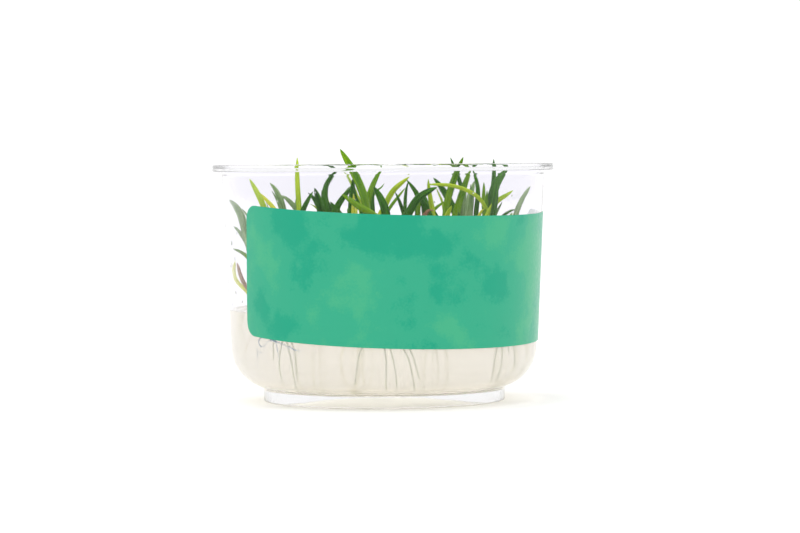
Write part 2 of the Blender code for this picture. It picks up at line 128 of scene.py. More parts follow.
# %% [markdown]
# ## The camera
# The cup was photographed from close to rim height with a long lens: the rim is seen edge-on, as
# one line, and the foot's ellipse is a little open. So the camera stands at the height of the rim,
# and looks down by two degrees. It turns a little to the right, because the cup stands left of the
# middle, and leans very slightly, because the rim's line isn't quite level.

# %% Place the camera
CAMERA_DISTANCE = 0.873
CAMERA_LENS = 131.6
SENSOR_WIDTH = 36.0
NEAREST_SEEN = 0.01
LOOK_DOWN = math.radians(2.01)
LOOK_RIGHT = math.radians(0.323)
LEAN = math.radians(-0.39)
rim_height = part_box("cup")[1].z

camera_place = (0.0, -CAMERA_DISTANCE, rim_height)
camera = started("photo_camera", bpy.ops.object.camera_add, location=camera_place)
camera.data.lens = CAMERA_LENS
camera.data.sensor_width = SENSOR_WIDTH
camera.data.clip_start = NEAREST_SEEN
camera.matrix_world = (
    Matrix.Translation(camera_place)
    @ Matrix.Rotation(-LOOK_RIGHT, 4, "Z")
    @ Matrix.Rotation(math.radians(90.0) - LOOK_DOWN, 4, "X")
    @ Matrix.Rotation(LEAN, 4, "Z")
)
bpy.context.scene.camera = camera
bpy.context.scene.view_settings.view_transform = "Standard"
print("camera height above the floor:", round(rim_height, 4))

# %% [markdown]
# ## Tools for the materials
# Each material is a small node tree. Short helpers make it, add nodes to it and wire them up. No
# real surface is even: plastic has a faint haze, gel is cloudy, paper has fibres. So one small node
# group serves them all: a soft mask on the piece's own coordinates, and the same mask spread between
# two values that each material chooses, mostly for its roughness.

# %% Make and fill node trees
COLOUR = "NodeSocketColor"
VALUE = "NodeSocketFloat"


def new_material(name):
    """A material with its node tree, its Principled shader and its output."""
    made = bpy.data.materials.new(name)
    made.use_nodes = True
    tree = made.node_tree
    return made, tree, tree.nodes["Principled BSDF"], tree.nodes["Material Output"]


def tune(node, **inputs):
    """Sets plain values on the inputs of these names, with _ for each space."""
    for name, value in inputs.items():
        node.inputs[name.replace("_", " ")].default_value = value


def add_node(tree, kind, settings=None, **inputs):
    """A node with these settings, and with plain values on its inputs."""
    node = tree.nodes.new(kind)
    for name, value in (settings or {}).items():
        setattr(node, name, value)
    tune(node, **inputs)
    return node


def math_node(tree, operation, second=0.5):
    """A Math node, with a plain value on its second input."""
    node = add_node(tree, "ShaderNodeMath", {"operation": operation})
    node.inputs[1].default_value = second
    return node


def wire(tree, *wires):
    """Links nodes: each wire is a node, its output, the next node and that one's input."""
    for source, output, target, entry in wires:
        tree.links.new(source.outputs[output], target.inputs[entry])


def new_group(name, inputs, outputs):
    """A node group with colour or value sockets of these names."""
    group = bpy.data.node_groups.new(name, "ShaderNodeTree")
    for title, kind in inputs:
        group.interface.new_socket(title, in_out="INPUT", socket_type=kind)
    for title, kind in outputs:
        group.interface.new_socket(title, in_out="OUTPUT", socket_type=kind)
    return group, group.nodes.new("NodeGroupInput"), group.nodes.new("NodeGroupOutput")


print("ready to build node trees")

# %% Build the mottle group
mottle, mottle_in, mottle_out = new_group(
    "soft mottle",
    (("Scale", VALUE), ("Low", VALUE), ("High", VALUE)),
    (("Mask", VALUE), ("Spread", VALUE)),
)
mottle_place = add_node(mottle, "ShaderNodeTexCoord")
mottle_noise = add_node(mottle, "ShaderNodeTexNoise", Detail=3.0)
mottle_spread = add_node(mottle, "ShaderNodeMapRange", From_Min=0.3, From_Max=0.7)
wire(
    mottle,
    (mottle_place, "Object", mottle_noise, "Vector"),
    (mottle_in, "Scale", mottle_noise, "Scale"),
    (mottle_noise, "Fac", mottle_spread, "Value"),
    (mottle_in, "Low", mottle_spread, "To Min"),
    (mottle_in, "High", mottle_spread, "To Max"),
    (mottle_noise, "Fac", mottle_out, "Mask"),
    (mottle_spread, "Result", mottle_out, "Spread"),
)


def mottled(tree, scale, low=0.0, high=1.0):
    """The mottle with scale in repeats to the metre, spread between low and high."""
    return add_node(tree, "ShaderNodeGroup", {"node_tree": mottle}, Scale=scale, Low=low, High=high)


def add_bump(tree, shader, source, distance):
    """Raises the surface by a value that changes over it, by up to distance."""
    bump = add_node(tree, "ShaderNodeBump", Distance=distance)
    tree.links.new(source, bump.inputs["Height"])
    wire(tree, (bump, "Normal", shader, "Normal"))


def two_tones(tree, mask, shade, light, low=0.35, high=0.65):
    """A colour that runs from shade to light as the mask rises from low to high."""
    ramp = add_node(tree, "ShaderNodeValToRGB")
    ramp.color_ramp.elements[0].position = low
    ramp.color_ramp.elements[0].color = (*shade, 1.0)
    ramp.color_ramp.elements[1].position = high
    ramp.color_ramp.elements[1].color = (*light, 1.0)
    tree.links.new(mask, ramp.inputs["Fac"])
    return ramp


def mottled_finish(name, scale, roughness, shade, light):
    """A material with two tones and two roughnesses that both follow the mottle."""
    made, tree, shader, _ = new_material(name)
    haze = mottled(tree, scale, *roughness)
    tone = two_tones(tree, haze.outputs["Mask"], shade, light)
    wire(
        tree,
        (tone, "Color", shader, "Base Color"),
        (haze, "Spread", shader, "Roughness"),
    )
    return made, tree, shader, haze.outputs["Mask"]


print("built", mottle.name)

# %% [markdown]
# ## Floor, surroundings and light
# The cup stands in an all white studio. Clear plastic has no colour of its own: it is seen by what
# it bends and mirrors. So whatever is seen straight or through the plastic is white, and only
# mirrored light differs: the room behind the camera was dim at the camera's height, and that keeps
# the greens behind the plastic deep, while light from above and from the back whitens the rest.

# %% Lay the floor
FLOOR_SIZE = 8.0
FLOOR_TONES = ((0.905, 0.90, 0.90), (0.915, 0.91, 0.91))
floor_finish, _, floor_shader, _ = mottled_finish("pale floor", 3.0, (0.7, 0.9), *FLOOR_TONES)
tune(floor_shader, Specular_IOR_Level=0.1)
floor = started("floor", bpy.ops.mesh.primitive_plane_add, size=FLOOR_SIZE, location=(0.0, 0.0, 0.0))
floor.data.materials.append(floor_finish)
print("floor", FLOOR_SIZE, "m across")

# %% Make the white surroundings
BRIGHTNESS = 1.07
DIM_ROOM = 0.4
world = bpy.data.worlds.new("white studio")
bpy.context.scene.world = world
world.use_nodes = True
sky = world.node_tree
background = sky.nodes["Background"]
direction = add_node(sky, "ShaderNodeTexCoord")
apart = add_node(sky, "ShaderNodeSeparateXYZ")
dim_to_bright = {"To_Min": DIM_ROOM, "To_Max": BRIGHTNESS}
behind = add_node(sky, "ShaderNodeMapRange", From_Min=-0.6, From_Max=0.1, **dim_to_bright)
level = math_node(sky, "ABSOLUTE")
above = add_node(sky, "ShaderNodeMapRange", From_Min=0.12, From_Max=0.5, **dim_to_bright)
brighter = math_node(sky, "MAXIMUM")
ray = add_node(sky, "ShaderNodeLightPath")
strength = add_node(sky, "ShaderNodeMix", A=BRIGHTNESS)
wire(
    sky,
    (direction, "Generated", apart, "Vector"),
    (apart, "Y", behind, "Value"),
    (apart, "Z", level, 0),
    (level, "Value", above, "Value"),
    (behind, "Result", brighter, 0),
    (above, "Result", brighter, 1),
    (ray, "Is Glossy Ray", strength, "Factor"),
    (brighter, "Value", strength, "B"),
    (strength, "Result", background, "Strength"),
)
tune(background, Color=(1.0, 1.0, 1.0, 1.0))
print("made the", world.name)

# %% Hang the soft light
LIGHT_LEAN = (math.radians(6.0), math.radians(-4.0), 0.0)
LIGHT_STRENGTH = 0.95
LIGHT_WIDTH = math.radians(25.0)
sun = started("soft_top_light", bpy.ops.object.light_add, type="SUN", rotation=LIGHT_LEAN)
sun.data.energy = LIGHT_STRENGTH
sun.data.angle = LIGHT_WIDTH
print("one soft light from above,", round(math.degrees(LIGHT_WIDTH)), "degrees wide")

# %% [markdown]
# ## The clear plastic
# The cup is thin moulded plastic. Its material is a glass-like Principled shader with a slight
# unevenness and a faint cool tint. Rays that look for a lamp would stop at such a wall, so a second,
# simply transparent shader lets those rays through: without it the plants would stand in the dark.
# Inside the thick rim a ray is mirrored so often that Blender gives it up, which leaves black spots.
# So each ray's turns are counted, and past a limit a share of the light goes straight on. Rim and
# foot mirror more strongly than the thin wall does, so there are two plastics from one recipe.


# %% Mix the clear plastic
MOST_TURNS = 6.5
MIRROR_COUNTS = 1.5
PASSING_SHARE = 0.3
PLASTIC_IOR = 1.42


def let_lamps_through(tree, shader, output, tint):
    """Rays to a lamp, from a matt surface, and some that turned too often pass straight on, tinted."""
    path = add_node(tree, "ShaderNodeLightPath")
    turns = math_node(tree, "MULTIPLY_ADD", MIRROR_COUNTS)
    often = math_node(tree, "GREATER_THAN", MOST_TURNS)
    some = math_node(tree, "MULTIPLY", PASSING_SHARE)
    matt = math_node(tree, "MAXIMUM")
    either = math_node(tree, "MAXIMUM")
    clear = add_node(tree, "ShaderNodeBsdfTransparent", Color=(*tint, 1.0))
    mix = add_node(tree, "ShaderNodeMixShader")
    wire(
        tree,
        (path, "Is Shadow Ray", either, 0),
        (path, "Glossy Depth", turns, 0),
        (path, "Transmission Depth", turns, 2),
        (turns, "Value", often, 0),
        (path, "Is Diffuse Ray", matt, 0),
        (often, "Value", some, 0),
        (some, "Value", matt, 1),
        (matt, "Value", either, 1),
        (either, "Value", mix, "Fac"),
        (shader, "BSDF", mix, 1),
        (clear, "BSDF", mix, 2),
        (mix, "Shader", output, "Surface"),
    )


def clear_plastic(name, colour, mirror, passes):
    """Clear plastic of a faint colour, with how much it mirrors and how much it lets pass straight."""
    made, tree, shader, output = new_material(name)
    tune(
        shader,
        Base_Color=(*colour, 1.0),
        Specular_Tint=(mirror, mirror, mirror, 1.0),
        Transmission_Weight=1.0,
        IOR=PLASTIC_IOR,
    )
    haze = mottled(tree, 60.0, 0.0, 0.05)
    wire(tree, (haze, "Spread", shader, "Roughness"))
    add_bump(tree, shader, haze.outputs["Mask"], 0.05 * MM)
    let_lamps_through(tree, shader, output, (passes, passes, passes))
    return made


wall_plastic = clear_plastic("clear wall plastic", (0.928, 0.921, 0.958), 0.35, 0.995)
edge_plastic = clear_plastic("clear edge plastic", (0.940, 0.940, 0.948), 0.88, 0.99)
print("mixed", wall_plastic.name, "and", edge_plastic.name)

# %% [markdown]
# ## The cup
# A moulded cup is the same all the way round, so only its cut profile is drawn: one point is
# extruded from the middle of the floor, up the inside, over the rim and down the outside to the
# foot. Spinning that line once round the axis makes the cup. Small fillets round every edge,
# because a mould has no knife edges, and clear plastic shows an edge by its fillet alone. The
# collar under the rim slopes outwards, the floor is a shallow dome, and a ring carries it all.

# %% Draw and spin a profile
SPIN_STEPS = 160
FILLET_STEPS = 5
MERGE_WITHIN = 0.002 * MM
TURNED_SMOOTH = math.radians(50.0)


def arc(centre, radius, start, end, steps):
    """Points on an arc from one angle to another, with both ends."""
    angles = [start + (end - start) * step / steps for step in range(steps + 1)]
    return [(centre[0] + radius * math.cos(a), centre[1] + radius * math.sin(a)) for a in angles]


def filleted(before, corner, after, radius):
    """The arc that rounds a profile's corner."""
    corner = Vector(corner)
    way_in = (Vector(before) - corner).normalized()
    way_out = (Vector(after) - corner).normalized()
    half = 0.5 * way_in.angle(way_out)
    centre = corner + (way_in + way_out).normalized() * radius / math.sin(half)
    start = corner + way_in * radius / math.tan(half) - centre
    end = corner + way_out * radius / math.tan(half) - centre
    spokes = [start.lerp(end, step / FILLET_STEPS).normalized() for step in range(FILLET_STEPS + 1)]
    return [tuple(centre + spoke * radius) for spoke in spokes]


def rounded(corners):
    """A profile's points from corners of (radius, height) or (radius, height, fillet)."""
    points = []
    for place, corner in enumerate(corners):
        if len(corner) == 2:
            points.append(corner)
        else:
            points += filleted(corners[place - 1][:2], corner[:2], corners[place + 1][:2], corner[2])
    return points


def turned_piece(name, profile, finish):
    """Extrudes one point along the profile, and spins the line round the Z axis."""
    piece = started(name, bpy.ops.mesh.primitive_plane_add, size=MM)
    edit(piece)
    bpy.ops.mesh.merge(type="CENTER")
    bpy.ops.transform.translate(value=(profile[0][0], 0.0, profile[0][1]))
    for here, there in zip(profile, profile[1:]):
        step = (there[0] - here[0], 0.0, there[1] - here[1])
        bpy.ops.mesh.extrude_vertices_move(TRANSFORM_OT_translate={"value": step})
    bpy.ops.mesh.select_all(action="SELECT")
    bpy.ops.mesh.spin(steps=SPIN_STEPS, angle=2.0 * math.pi, center=(0.0, 0.0, 0.0), axis=(0.0, 0.0, 1.0))
    bpy.ops.mesh.select_all(action="SELECT")
    bpy.ops.mesh.remove_doubles(threshold=MERGE_WITHIN)
    face_outwards()
    bpy.ops.object.shade_smooth_by_angle(angle=TURNED_SMOOTH)
    piece.data.materials.append(finish)
    return piece


print("a turned piece has", SPIN_STEPS, "steps round")

# %% Give the cup its sizes
rim_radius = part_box("cup")[1].x
WALL = 1.0 * MM
DRAFT = math.radians(2.6)
CORNER_CENTRE = (33.1 * MM, 16.4 * MM)
CORNER_RADIUS = 12.6 * MM
FOOT_RADIUS = 36.0 * MM
FOOT_WALL = 1.4 * MM
COLLAR_STEP = 0.45 * MM
SHOULDER = rim_height - 3.05 * MM
COLLAR = SHOULDER + 1.5 * MM
DOME_RADIUS = 26.0 * MM
DOME_RISE = 2.6 * MM
DOME_STEPS = 12
LIP_DEPTH = 2.1 * MM
LIP_WIDTH = 0.9 * MM
RIM_THICKNESS = 1.0 * MM
ARC_STEPS = 14


def wall_radius(height):
    """The radius of the outside of the cup's drafted wall."""
    foot_of_wall = CORNER_CENTRE[1] - CORNER_RADIUS * math.sin(DRAFT)
    at_foot = CORNER_CENTRE[0] + CORNER_RADIUS * math.cos(DRAFT)
    return at_foot + (height - foot_of_wall) * math.tan(DRAFT)


def dome(floor_height):
    """Points of the floor's shallow dome, from its middle to its edge."""
    ball = (DOME_RADIUS**2 + DOME_RISE**2) / (2.0 * DOME_RISE)
    radii = [DOME_RADIUS * step / DOME_STEPS for step in range(DOME_STEPS)]
    raised = [(r, floor_height + DOME_RISE - ball + math.sqrt(ball**2 - r**2)) for r in radii]
    return [*raised, (DOME_RADIUS, floor_height, 2.0 * MM)]


print("outside of the wall at its shoulder:", round(wall_radius(SHOULDER), 4), "m from the axis")

# %% Spin the cup
floor_under = CORNER_CENTRE[1] - CORNER_RADIUS
foot_angle = -math.acos((FOOT_RADIUS - CORNER_CENTRE[0]) / CORNER_RADIUS)
top = wall_radius(rim_height) + COLLAR_STEP
cup_corners = dome(floor_under + WALL)
cup_corners += arc(CORNER_CENTRE, CORNER_RADIUS - WALL, -0.5 * math.pi, -DRAFT, ARC_STEPS)
cup_corners += [
    (wall_radius(SHOULDER) - WALL, SHOULDER, 2.0 * MM),
    (wall_radius(COLLAR) - WALL + COLLAR_STEP, COLLAR, 2.0 * MM),
    (top - WALL, rim_height, 0.5 * MM),
    (rim_radius, rim_height, 0.45 * MM),
    (rim_radius, rim_height - LIP_DEPTH, 0.4 * MM),
    (rim_radius - LIP_WIDTH, rim_height - LIP_DEPTH, 0.4 * MM),
    (rim_radius - LIP_WIDTH, rim_height - RIM_THICKNESS, 0.2 * MM),
    (top, rim_height - RIM_THICKNESS, 0.3 * MM),
    (wall_radius(COLLAR) + COLLAR_STEP, COLLAR, 1.0 * MM),
    (wall_radius(SHOULDER), SHOULDER, 2.0 * MM),
]
cup_corners += arc(CORNER_CENTRE, CORNER_RADIUS, -DRAFT, foot_angle, ARC_STEPS)
cup_corners += [
    (FOOT_RADIUS, 0.0, 0.5 * MM),
    (FOOT_RADIUS - FOOT_WALL, 0.0, 0.5 * MM),
    (FOOT_RADIUS - FOOT_WALL, floor_under, 0.5 * MM),
]
cup_corners += dome(floor_under)[::-1]
cup = turned_piece("cup_clear", rounded(cup_corners), wall_plastic)
cup.data.materials.append(edge_plastic)
for face in cup.data.polygons:
    if face.center.z > COLLAR or face.center.z < floor_under - FOOT_WALL:
        face.material_index = 1  # rim and foot take the edge plastic
finish_piece(cup, "clear_plastic", "cup")

# %% [markdown]
# ## The gel
# The gel was poured hot and set, so it has the cup's inside for its shape, a level surface and a
# small raised edge where it climbs the wall. It is spun from a profile like the cup. Its sides
# reach a little way into the wall: then no sheet of air is left between the two, which would
# shine like a mirror. The gel absorbs a little blue, so it looks cream where it is deep.

# %% Mix the gel
GEL_IOR = 1.34
GEL_TAKES = (0.90, 0.77, 0.36, 1.0)
gel_finish, gel_tree, gel_shader, gel_output = new_material("nutrient gel")
tune(
    gel_shader,
    Base_Color=(0.975, 0.957, 0.905, 1.0),
    Transmission_Weight=0.65,
    Specular_Tint=(0.5, 0.5, 0.5, 1.0),
    IOR=GEL_IOR,
)
cloud = mottled(gel_tree, 140.0, 0.06, 0.15)
wire(gel_tree, (cloud, "Spread", gel_shader, "Roughness"))
absorb = add_node(gel_tree, "ShaderNodeVolumeAbsorption", Color=GEL_TAKES, Density=4.5)
wire(gel_tree, (absorb, "Volume", gel_output, "Volume"))
let_lamps_through(gel_tree, gel_shader, gel_output, (0.98, 0.965, 0.925))
print("mixed", gel_finish.name)

# %% Spin the gel
INTO_WALL = 0.35 * MM
MENISCUS_RISE = 0.8 * MM
MENISCUS_REACH = 2.4 * MM
MENISCUS_STEPS = 6
gel_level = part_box("gel")[1].z
gel_bottom_arc = CORNER_RADIUS - WALL + INTO_WALL
edge_height = gel_level + MENISCUS_RISE
edge_radius = wall_radius(edge_height) - WALL + INTO_WALL
gel_bottom = CORNER_CENTRE[1] - gel_bottom_arc
gel_profile = rounded([*dome(gel_bottom), (CORNER_CENTRE[0], gel_bottom)])[:-1]
gel_profile += arc(CORNER_CENTRE, gel_bottom_arc, -0.5 * math.pi, -DRAFT, ARC_STEPS)
for step in range(MENISCUS_STEPS + 1):
    share = step / MENISCUS_STEPS
    climb = MENISCUS_RISE * (1.0 - share) ** 3
    gel_profile.append((edge_radius - MENISCUS_REACH * share, gel_level + climb))
gel_profile.append((0.0, gel_level))
gel = turned_piece("gel_set", gel_profile, gel_finish)
finish_piece(gel, "gel", "gel")

# %% [markdown]
# ## The label
# The label is a straight strip of printed film. It is made the way it was put on: cut flat with
# rounded corners, then rolled round the cup. The wall is a cone, and a straight strip rolled on a
# cone climbs at both ends, so the flat strip is first bent a little in its own plane. At the end it
# is pulled onto the wall itself, and given its thickness. It carries no print but its greens.

# %% Cut the label flat
LABEL_LENGTH = 137.0 * MM
LABEL_HEIGHT = 38.1 * MM
LABEL_CORNER = 4.2 * MM
LABEL_CUTS = 96
LABEL_ROWS = 10
LABEL_MIDDLE_HEIGHT = 36.5 * MM
ROLLED_WIDER = 1.3 * MM
middle_radius = wall_radius(LABEL_MIDDLE_HEIGHT)
cut_length = LABEL_LENGTH * (middle_radius + ROLLED_WIDER) / middle_radius

label = started("label_wrap", bpy.ops.mesh.primitive_plane_add, size=1.0)
label.scale = (cut_length, LABEL_HEIGHT, 1.0)
settle(label)
edit(label)
bpy.ops.mesh.bevel(affect="VERTICES", offset=LABEL_CORNER, segments=8, profile=0.5)
to_the_side = (LABEL_CUTS, cut_length, (1.0, 0.0, 0.0))
upwards = (LABEL_ROWS, LABEL_HEIGHT, (0.0, 1.0, 0.0))
for cuts, extent, way in (to_the_side, upwards):
    for cut in range(1, cuts):
        place = extent * (cut / cuts - 0.5)
        bpy.ops.mesh.select_all(action="SELECT")
        bpy.ops.mesh.bisect(plane_co=(place, place, 0.0), plane_no=way)
leave_edit()
print("label cut into", len(label.data.polygons), "faces")

# %% Bend it and roll it on
LABEL_MIDDLE_ANGLE = math.radians(26.5)
LABEL_TILT = math.radians(0.92)
in_plane = LABEL_LENGTH * math.sin(DRAFT) / middle_radius
apply_step(label, "SIMPLE_DEFORM", deform_method="BEND", deform_axis="Z", angle=in_plane)
label.rotation_euler = (math.radians(90.0), LABEL_TILT, 0.0)
settle(label)
roll = label.dimensions.x / (middle_radius + ROLLED_WIDER)
apply_step(label, "SIMPLE_DEFORM", deform_method="BEND", deform_axis="Z", angle=roll)
nearest = min(vertex.co.y for vertex in label.data.vertices)
label.location = (0.0, -middle_radius - ROLLED_WIDER - nearest, LABEL_MIDDLE_HEIGHT)
settle(label)
label.rotation_euler = (0.0, 0.0, LABEL_MIDDLE_ANGLE)
settle(label)
print("label rolled through", round(math.degrees(roll)), "degrees")

# %% [markdown]
# ## The label's print
# The print is a wash of greens that run into each other, like watercolour: heaviest towards the
# upper middle, with broken edges and small patches round it. The film has a soft shine. Its back
# is bare paper, which shows through the cup from behind.

# %% Print the label's wash
DEEP_GREEN = (0.005, 0.345, 0.205)
MAIN_GREEN = (0.027, 0.385, 0.225)
PALE_GREEN = (0.050, 0.420, 0.225)
wash, wash_tree, wash_shader, _ = new_material("label print")
spot = add_node(wash_tree, "ShaderNodeTexCoord")
# the wash's middle is 7 mm left of the front and 50 mm up, and it spreads 17 by 9 mm
around = add_node(wash_tree, "ShaderNodeMapping", Location=(0.4, 0.0, -5.6), Scale=(59.0, 0.0, 111.0))
far = add_node(wash_tree, "ShaderNodeVectorMath", {"operation": "LENGTH"})
heavy = add_node(wash_tree, "ShaderNodeMapRange", From_Min=0.4, From_Max=2.0, To_Min=0.17, To_Max=-0.06)
broad = mottled(wash_tree, 55.0)
fine = mottled(wash_tree, 190.0, -0.045, 0.045)
speckle = mottled(wash_tree, 1600.0, -0.03, 0.03)
wet_sum = math_node(wash_tree, "ADD")
edge_sum = math_node(wash_tree, "ADD")
grain_sum = math_node(wash_tree, "ADD")
blend = two_tones(wash_tree, grain_sum.outputs["Value"], PALE_GREEN, DEEP_GREEN, 0.34, 0.61)
for position in (0.44, 0.53):
    middle_tone = blend.color_ramp.elements.new(position)
    middle_tone.color = (*MAIN_GREEN, 1.0)
wire(
    wash_tree,
    (spot, "Object", around, "Vector"),
    (around, "Vector", far, 0),
    (far, "Value", heavy, "Value"),
    (broad, "Mask", wet_sum, 0),
    (heavy, "Result", wet_sum, 1),
    (wet_sum, "Value", edge_sum, 0),
    (fine, "Spread", edge_sum, 1),
    (edge_sum, "Value", grain_sum, 0),
    (speckle, "Spread", grain_sum, 1),
    (blend, "Color", wash_shader, "Base Color"),
)
film = mottled(wash_tree, 900.0, 0.35, 0.48)
wire(wash_tree, (film, "Spread", wash_shader, "Roughness"))
tune(wash_shader, Specular_IOR_Level=0.12, Coat_Weight=0.3, Coat_Roughness=0.1)
print("mixed", wash.name)

# %% Give its back bare paper
PAPER_TONES = ((0.70, 0.79, 0.76), (0.78, 0.85, 0.82))
paper = mottled_finish("label back", 2500.0, (0.5, 0.7), *PAPER_TONES)[0]
print("mixed", paper.name)

# %% Press the label onto the wall
LABEL_THICKNESS = 0.15 * MM
LABEL_STANDS_OFF = 0.08 * MM
LABEL_SMOOTH = math.radians(40.0)
label.data.materials.append(paper)
label.data.materials.append(wash)
apply_step(
    label,
    "SHRINKWRAP",
    target=cup,
    wrap_method="NEAREST_SURFACEPOINT",
    wrap_mode="OUTSIDE_SURFACE",
    offset=LABEL_STANDS_OFF,
)
edit(label)
face_outwards()
outward = sum(Vector(face.center[:2]).dot(Vector(face.normal[:2])) for face in label.data.polygons)
if outward > 0.0:
    label.data.flip_normals()
print_side = {"material_offset": 1, "material_offset_rim": 1}
apply_step(label, "SOLIDIFY", thickness=LABEL_THICKNESS, offset=-1.0, **print_side)
bpy.ops.object.shade_smooth_by_angle(angle=LABEL_SMOOTH)
finish_piece(label, "label", "label")

# %% [markdown]
# ## The leaf tissue
# Shoreweed leaves are narrow and fleshy, rounded on the back and a little hollow in front. They
# are deep green with paler stripes and flecks, pale where they come out of the crown, and the
# young ones are yellow-green. The paler stripes and flecks are partly the leaves' own streaks and
# partly painted highlight: their light tone is kept lighter to stand for the shine on the blades.
# Six tones share this, so it is one node group: each material gives it its own two greens. The
# stripes follow two values that each leaf's mesh carries, how far along the leaf a point is and
# how far across.

# %% Build the leaf group
# The second colour that each tone gives the group is partly the leaves' own paler streaks and partly
# painted highlight.
leaf_group, leaf_in, leaf_out = new_group(
    "leaf tissue",
    (("Blade", COLOUR), ("Stripe", COLOUR), ("Base", COLOUR)),
    (("Colour", COLOUR), ("Roughness", VALUE), ("Height", VALUE)),
)


def socket_of(sockets, name, kind):
    """The socket of this name and kind, where several share the name."""
    return next(socket for socket in sockets if socket.name == name and socket.type == kind)


def colour_mix(tree, amount, first, second):
    """Mixes two colours by a value."""
    mix = add_node(tree, "ShaderNodeMix", {"data_type": "RGBA"})
    tree.links.new(amount, socket_of(mix.inputs, "Factor", "VALUE"))
    tree.links.new(first, socket_of(mix.inputs, "A", "RGBA"))
    tree.links.new(second, socket_of(mix.inputs, "B", "RGBA"))
    return socket_of(mix.outputs, "Result", "RGBA")


along = add_node(leaf_group, "ShaderNodeAttribute", {"attribute_name": "along"})
across = add_node(leaf_group, "ShaderNodeAttribute", {"attribute_name": "across"})
on_leaf = add_node(leaf_group, "ShaderNodeCombineXYZ")
stretched = add_node(leaf_group, "ShaderNodeMapping", Scale=(7.0, 2.4, 1.0))
stripes = add_node(leaf_group, "ShaderNodeTexNoise", Scale=1.0, Detail=2.0)
streak_and_highlight_mask = add_node(leaf_group, "ShaderNodeMapRange", From_Min=0.46, From_Max=0.64)
base_mask = add_node(leaf_group, "ShaderNodeMapRange", From_Min=0.0, From_Max=0.22, To_Min=0.9, To_Max=0.0)
cells = mottled(leaf_group, 900.0, 0.30, 0.50)
patches = mottled(leaf_group, 110.0, 0.0, 0.55)
wire(
    leaf_group,
    (across, "Fac", on_leaf, "X"),
    (along, "Fac", on_leaf, "Y"),
    (on_leaf, "Vector", stretched, "Vector"),
    (stretched, "Vector", stripes, "Vector"),
    (stripes, "Fac", streak_and_highlight_mask, "Value"),
    (along, "Fac", base_mask, "Value"),
)
# the light tone of the stripes and flecks: partly the leaves' own streaks, partly painted highlight
streak_and_highlight_green = leaf_in.outputs["Stripe"]
shaded = colour_mix(leaf_group, patches.outputs["Spread"], leaf_in.outputs["Blade"], streak_and_highlight_green)
striped = colour_mix(leaf_group, streak_and_highlight_mask.outputs["Result"], shaded, streak_and_highlight_green)
paled = colour_mix(leaf_group, base_mask.outputs["Result"], striped, leaf_in.outputs["Base"])
leaf_group.links.new(paled, leaf_out.inputs["Colour"])
wire(
    leaf_group,
    (cells, "Spread", leaf_out, "Roughness"),
    (stripes, "Fac", leaf_out, "Height"),
)
print("built", leaf_group.name)

# %% Mix the six leaf tones
# each tone's second colour lights the stripes and flecks: partly the leaves' own streaks, partly painted
# highlight
LEAF_TONES = {
    "leaf_dark": ((0.001, 0.038, 0.001), (0.060, 0.235, 0.004)),
    "leaf_mid": ((0.026, 0.145, 0.001), (0.240, 0.440, 0.010)),
    "leaf_lime": ((0.250, 0.440, 0.003), (0.560, 0.700, 0.050)),
    "leaf_pale": ((0.080, 0.185, 0.040), (0.340, 0.460, 0.230)),
    "leaf_yellow": ((0.600, 0.620, 0.015), (0.740, 0.760, 0.120)),
    "leaf_brown": ((0.240, 0.100, 0.045), (0.420, 0.240, 0.140)),
}
LEAF_BASE = (0.62, 0.70, 0.42)


def leaf_material(slot, blade_colour, streak_and_highlight_colour):
    """One tone of leaf, with the shared tissue group in front of its shader."""
    made, tree, shader, _ = new_material(slot.replace("_", " "))
    tissue = add_node(tree, "ShaderNodeGroup", {"node_tree": leaf_group})
    tune(tissue, Blade=(*blade_colour, 1.0), Stripe=(*streak_and_highlight_colour, 1.0), Base=(*LEAF_BASE, 1.0))
    wire(
        tree,
        (tissue, "Colour", shader, "Base Color"),
        (tissue, "Roughness", shader, "Roughness"),
    )
    add_bump(tree, shader, tissue.outputs["Height"], 0.08 * MM)
    tune(shader, Specular_IOR_Level=0.12, Coat_Weight=0.03, Coat_Roughness=0.15)
    return made


leaf_finishes = {slot: leaf_material(slot, *tones) for slot, tones in LEAF_TONES.items()}
print("leaf tones:", ", ".join(leaf_finishes))

# %% [markdown]
# ## One blade and one root for them all
# All leaves have one form, so it is modelled once, straight, one unit long and one wide: a circle
# squeezed to a crescent, extruded upwards step by step with its taper, and closed to a point. The
# roots are made the same way, round and knobbly. Both are then laid along each plant's own lines.


# %% Model a straight blank
def straight_blank(name, corners, flatness, hollow, stations):
    """A tube along Z that follows the stations of (height, width) and ends in a point."""
    circle = {"vertices": corners, "radius": 0.5, "fill_type": "NGON"}
    piece = started(name, bpy.ops.mesh.primitive_circle_add, **circle)
    edit(piece)
    bpy.ops.transform.resize(value=(1.0, flatness, 1.0))
    leave_edit()
    for vertex in piece.data.vertices:
        vertex.select = vertex.co.y > 0.1 and abs(vertex.co.x) < 0.3
    bpy.ops.object.mode_set(mode="EDIT")
    bpy.ops.transform.translate(value=(0.0, -hollow, 0.0))
    bpy.ops.mesh.select_all(action="SELECT")
    for (low, wide), (high, narrow) in zip(stations, stations[1:]):
        bpy.ops.mesh.extrude_region_move(TRANSFORM_OT_translate={"value": (0.0, 0.0, high - low)})
        bpy.ops.transform.resize(value=(narrow / wide, narrow / wide, 1.0))
    bpy.ops.mesh.extrude_region_move(TRANSFORM_OT_translate={"value": (0.0, 0.0, 1.0 - stations[-1][0])})
    bpy.ops.mesh.merge(type="COLLAPSE")
    face_outwards()
    return piece


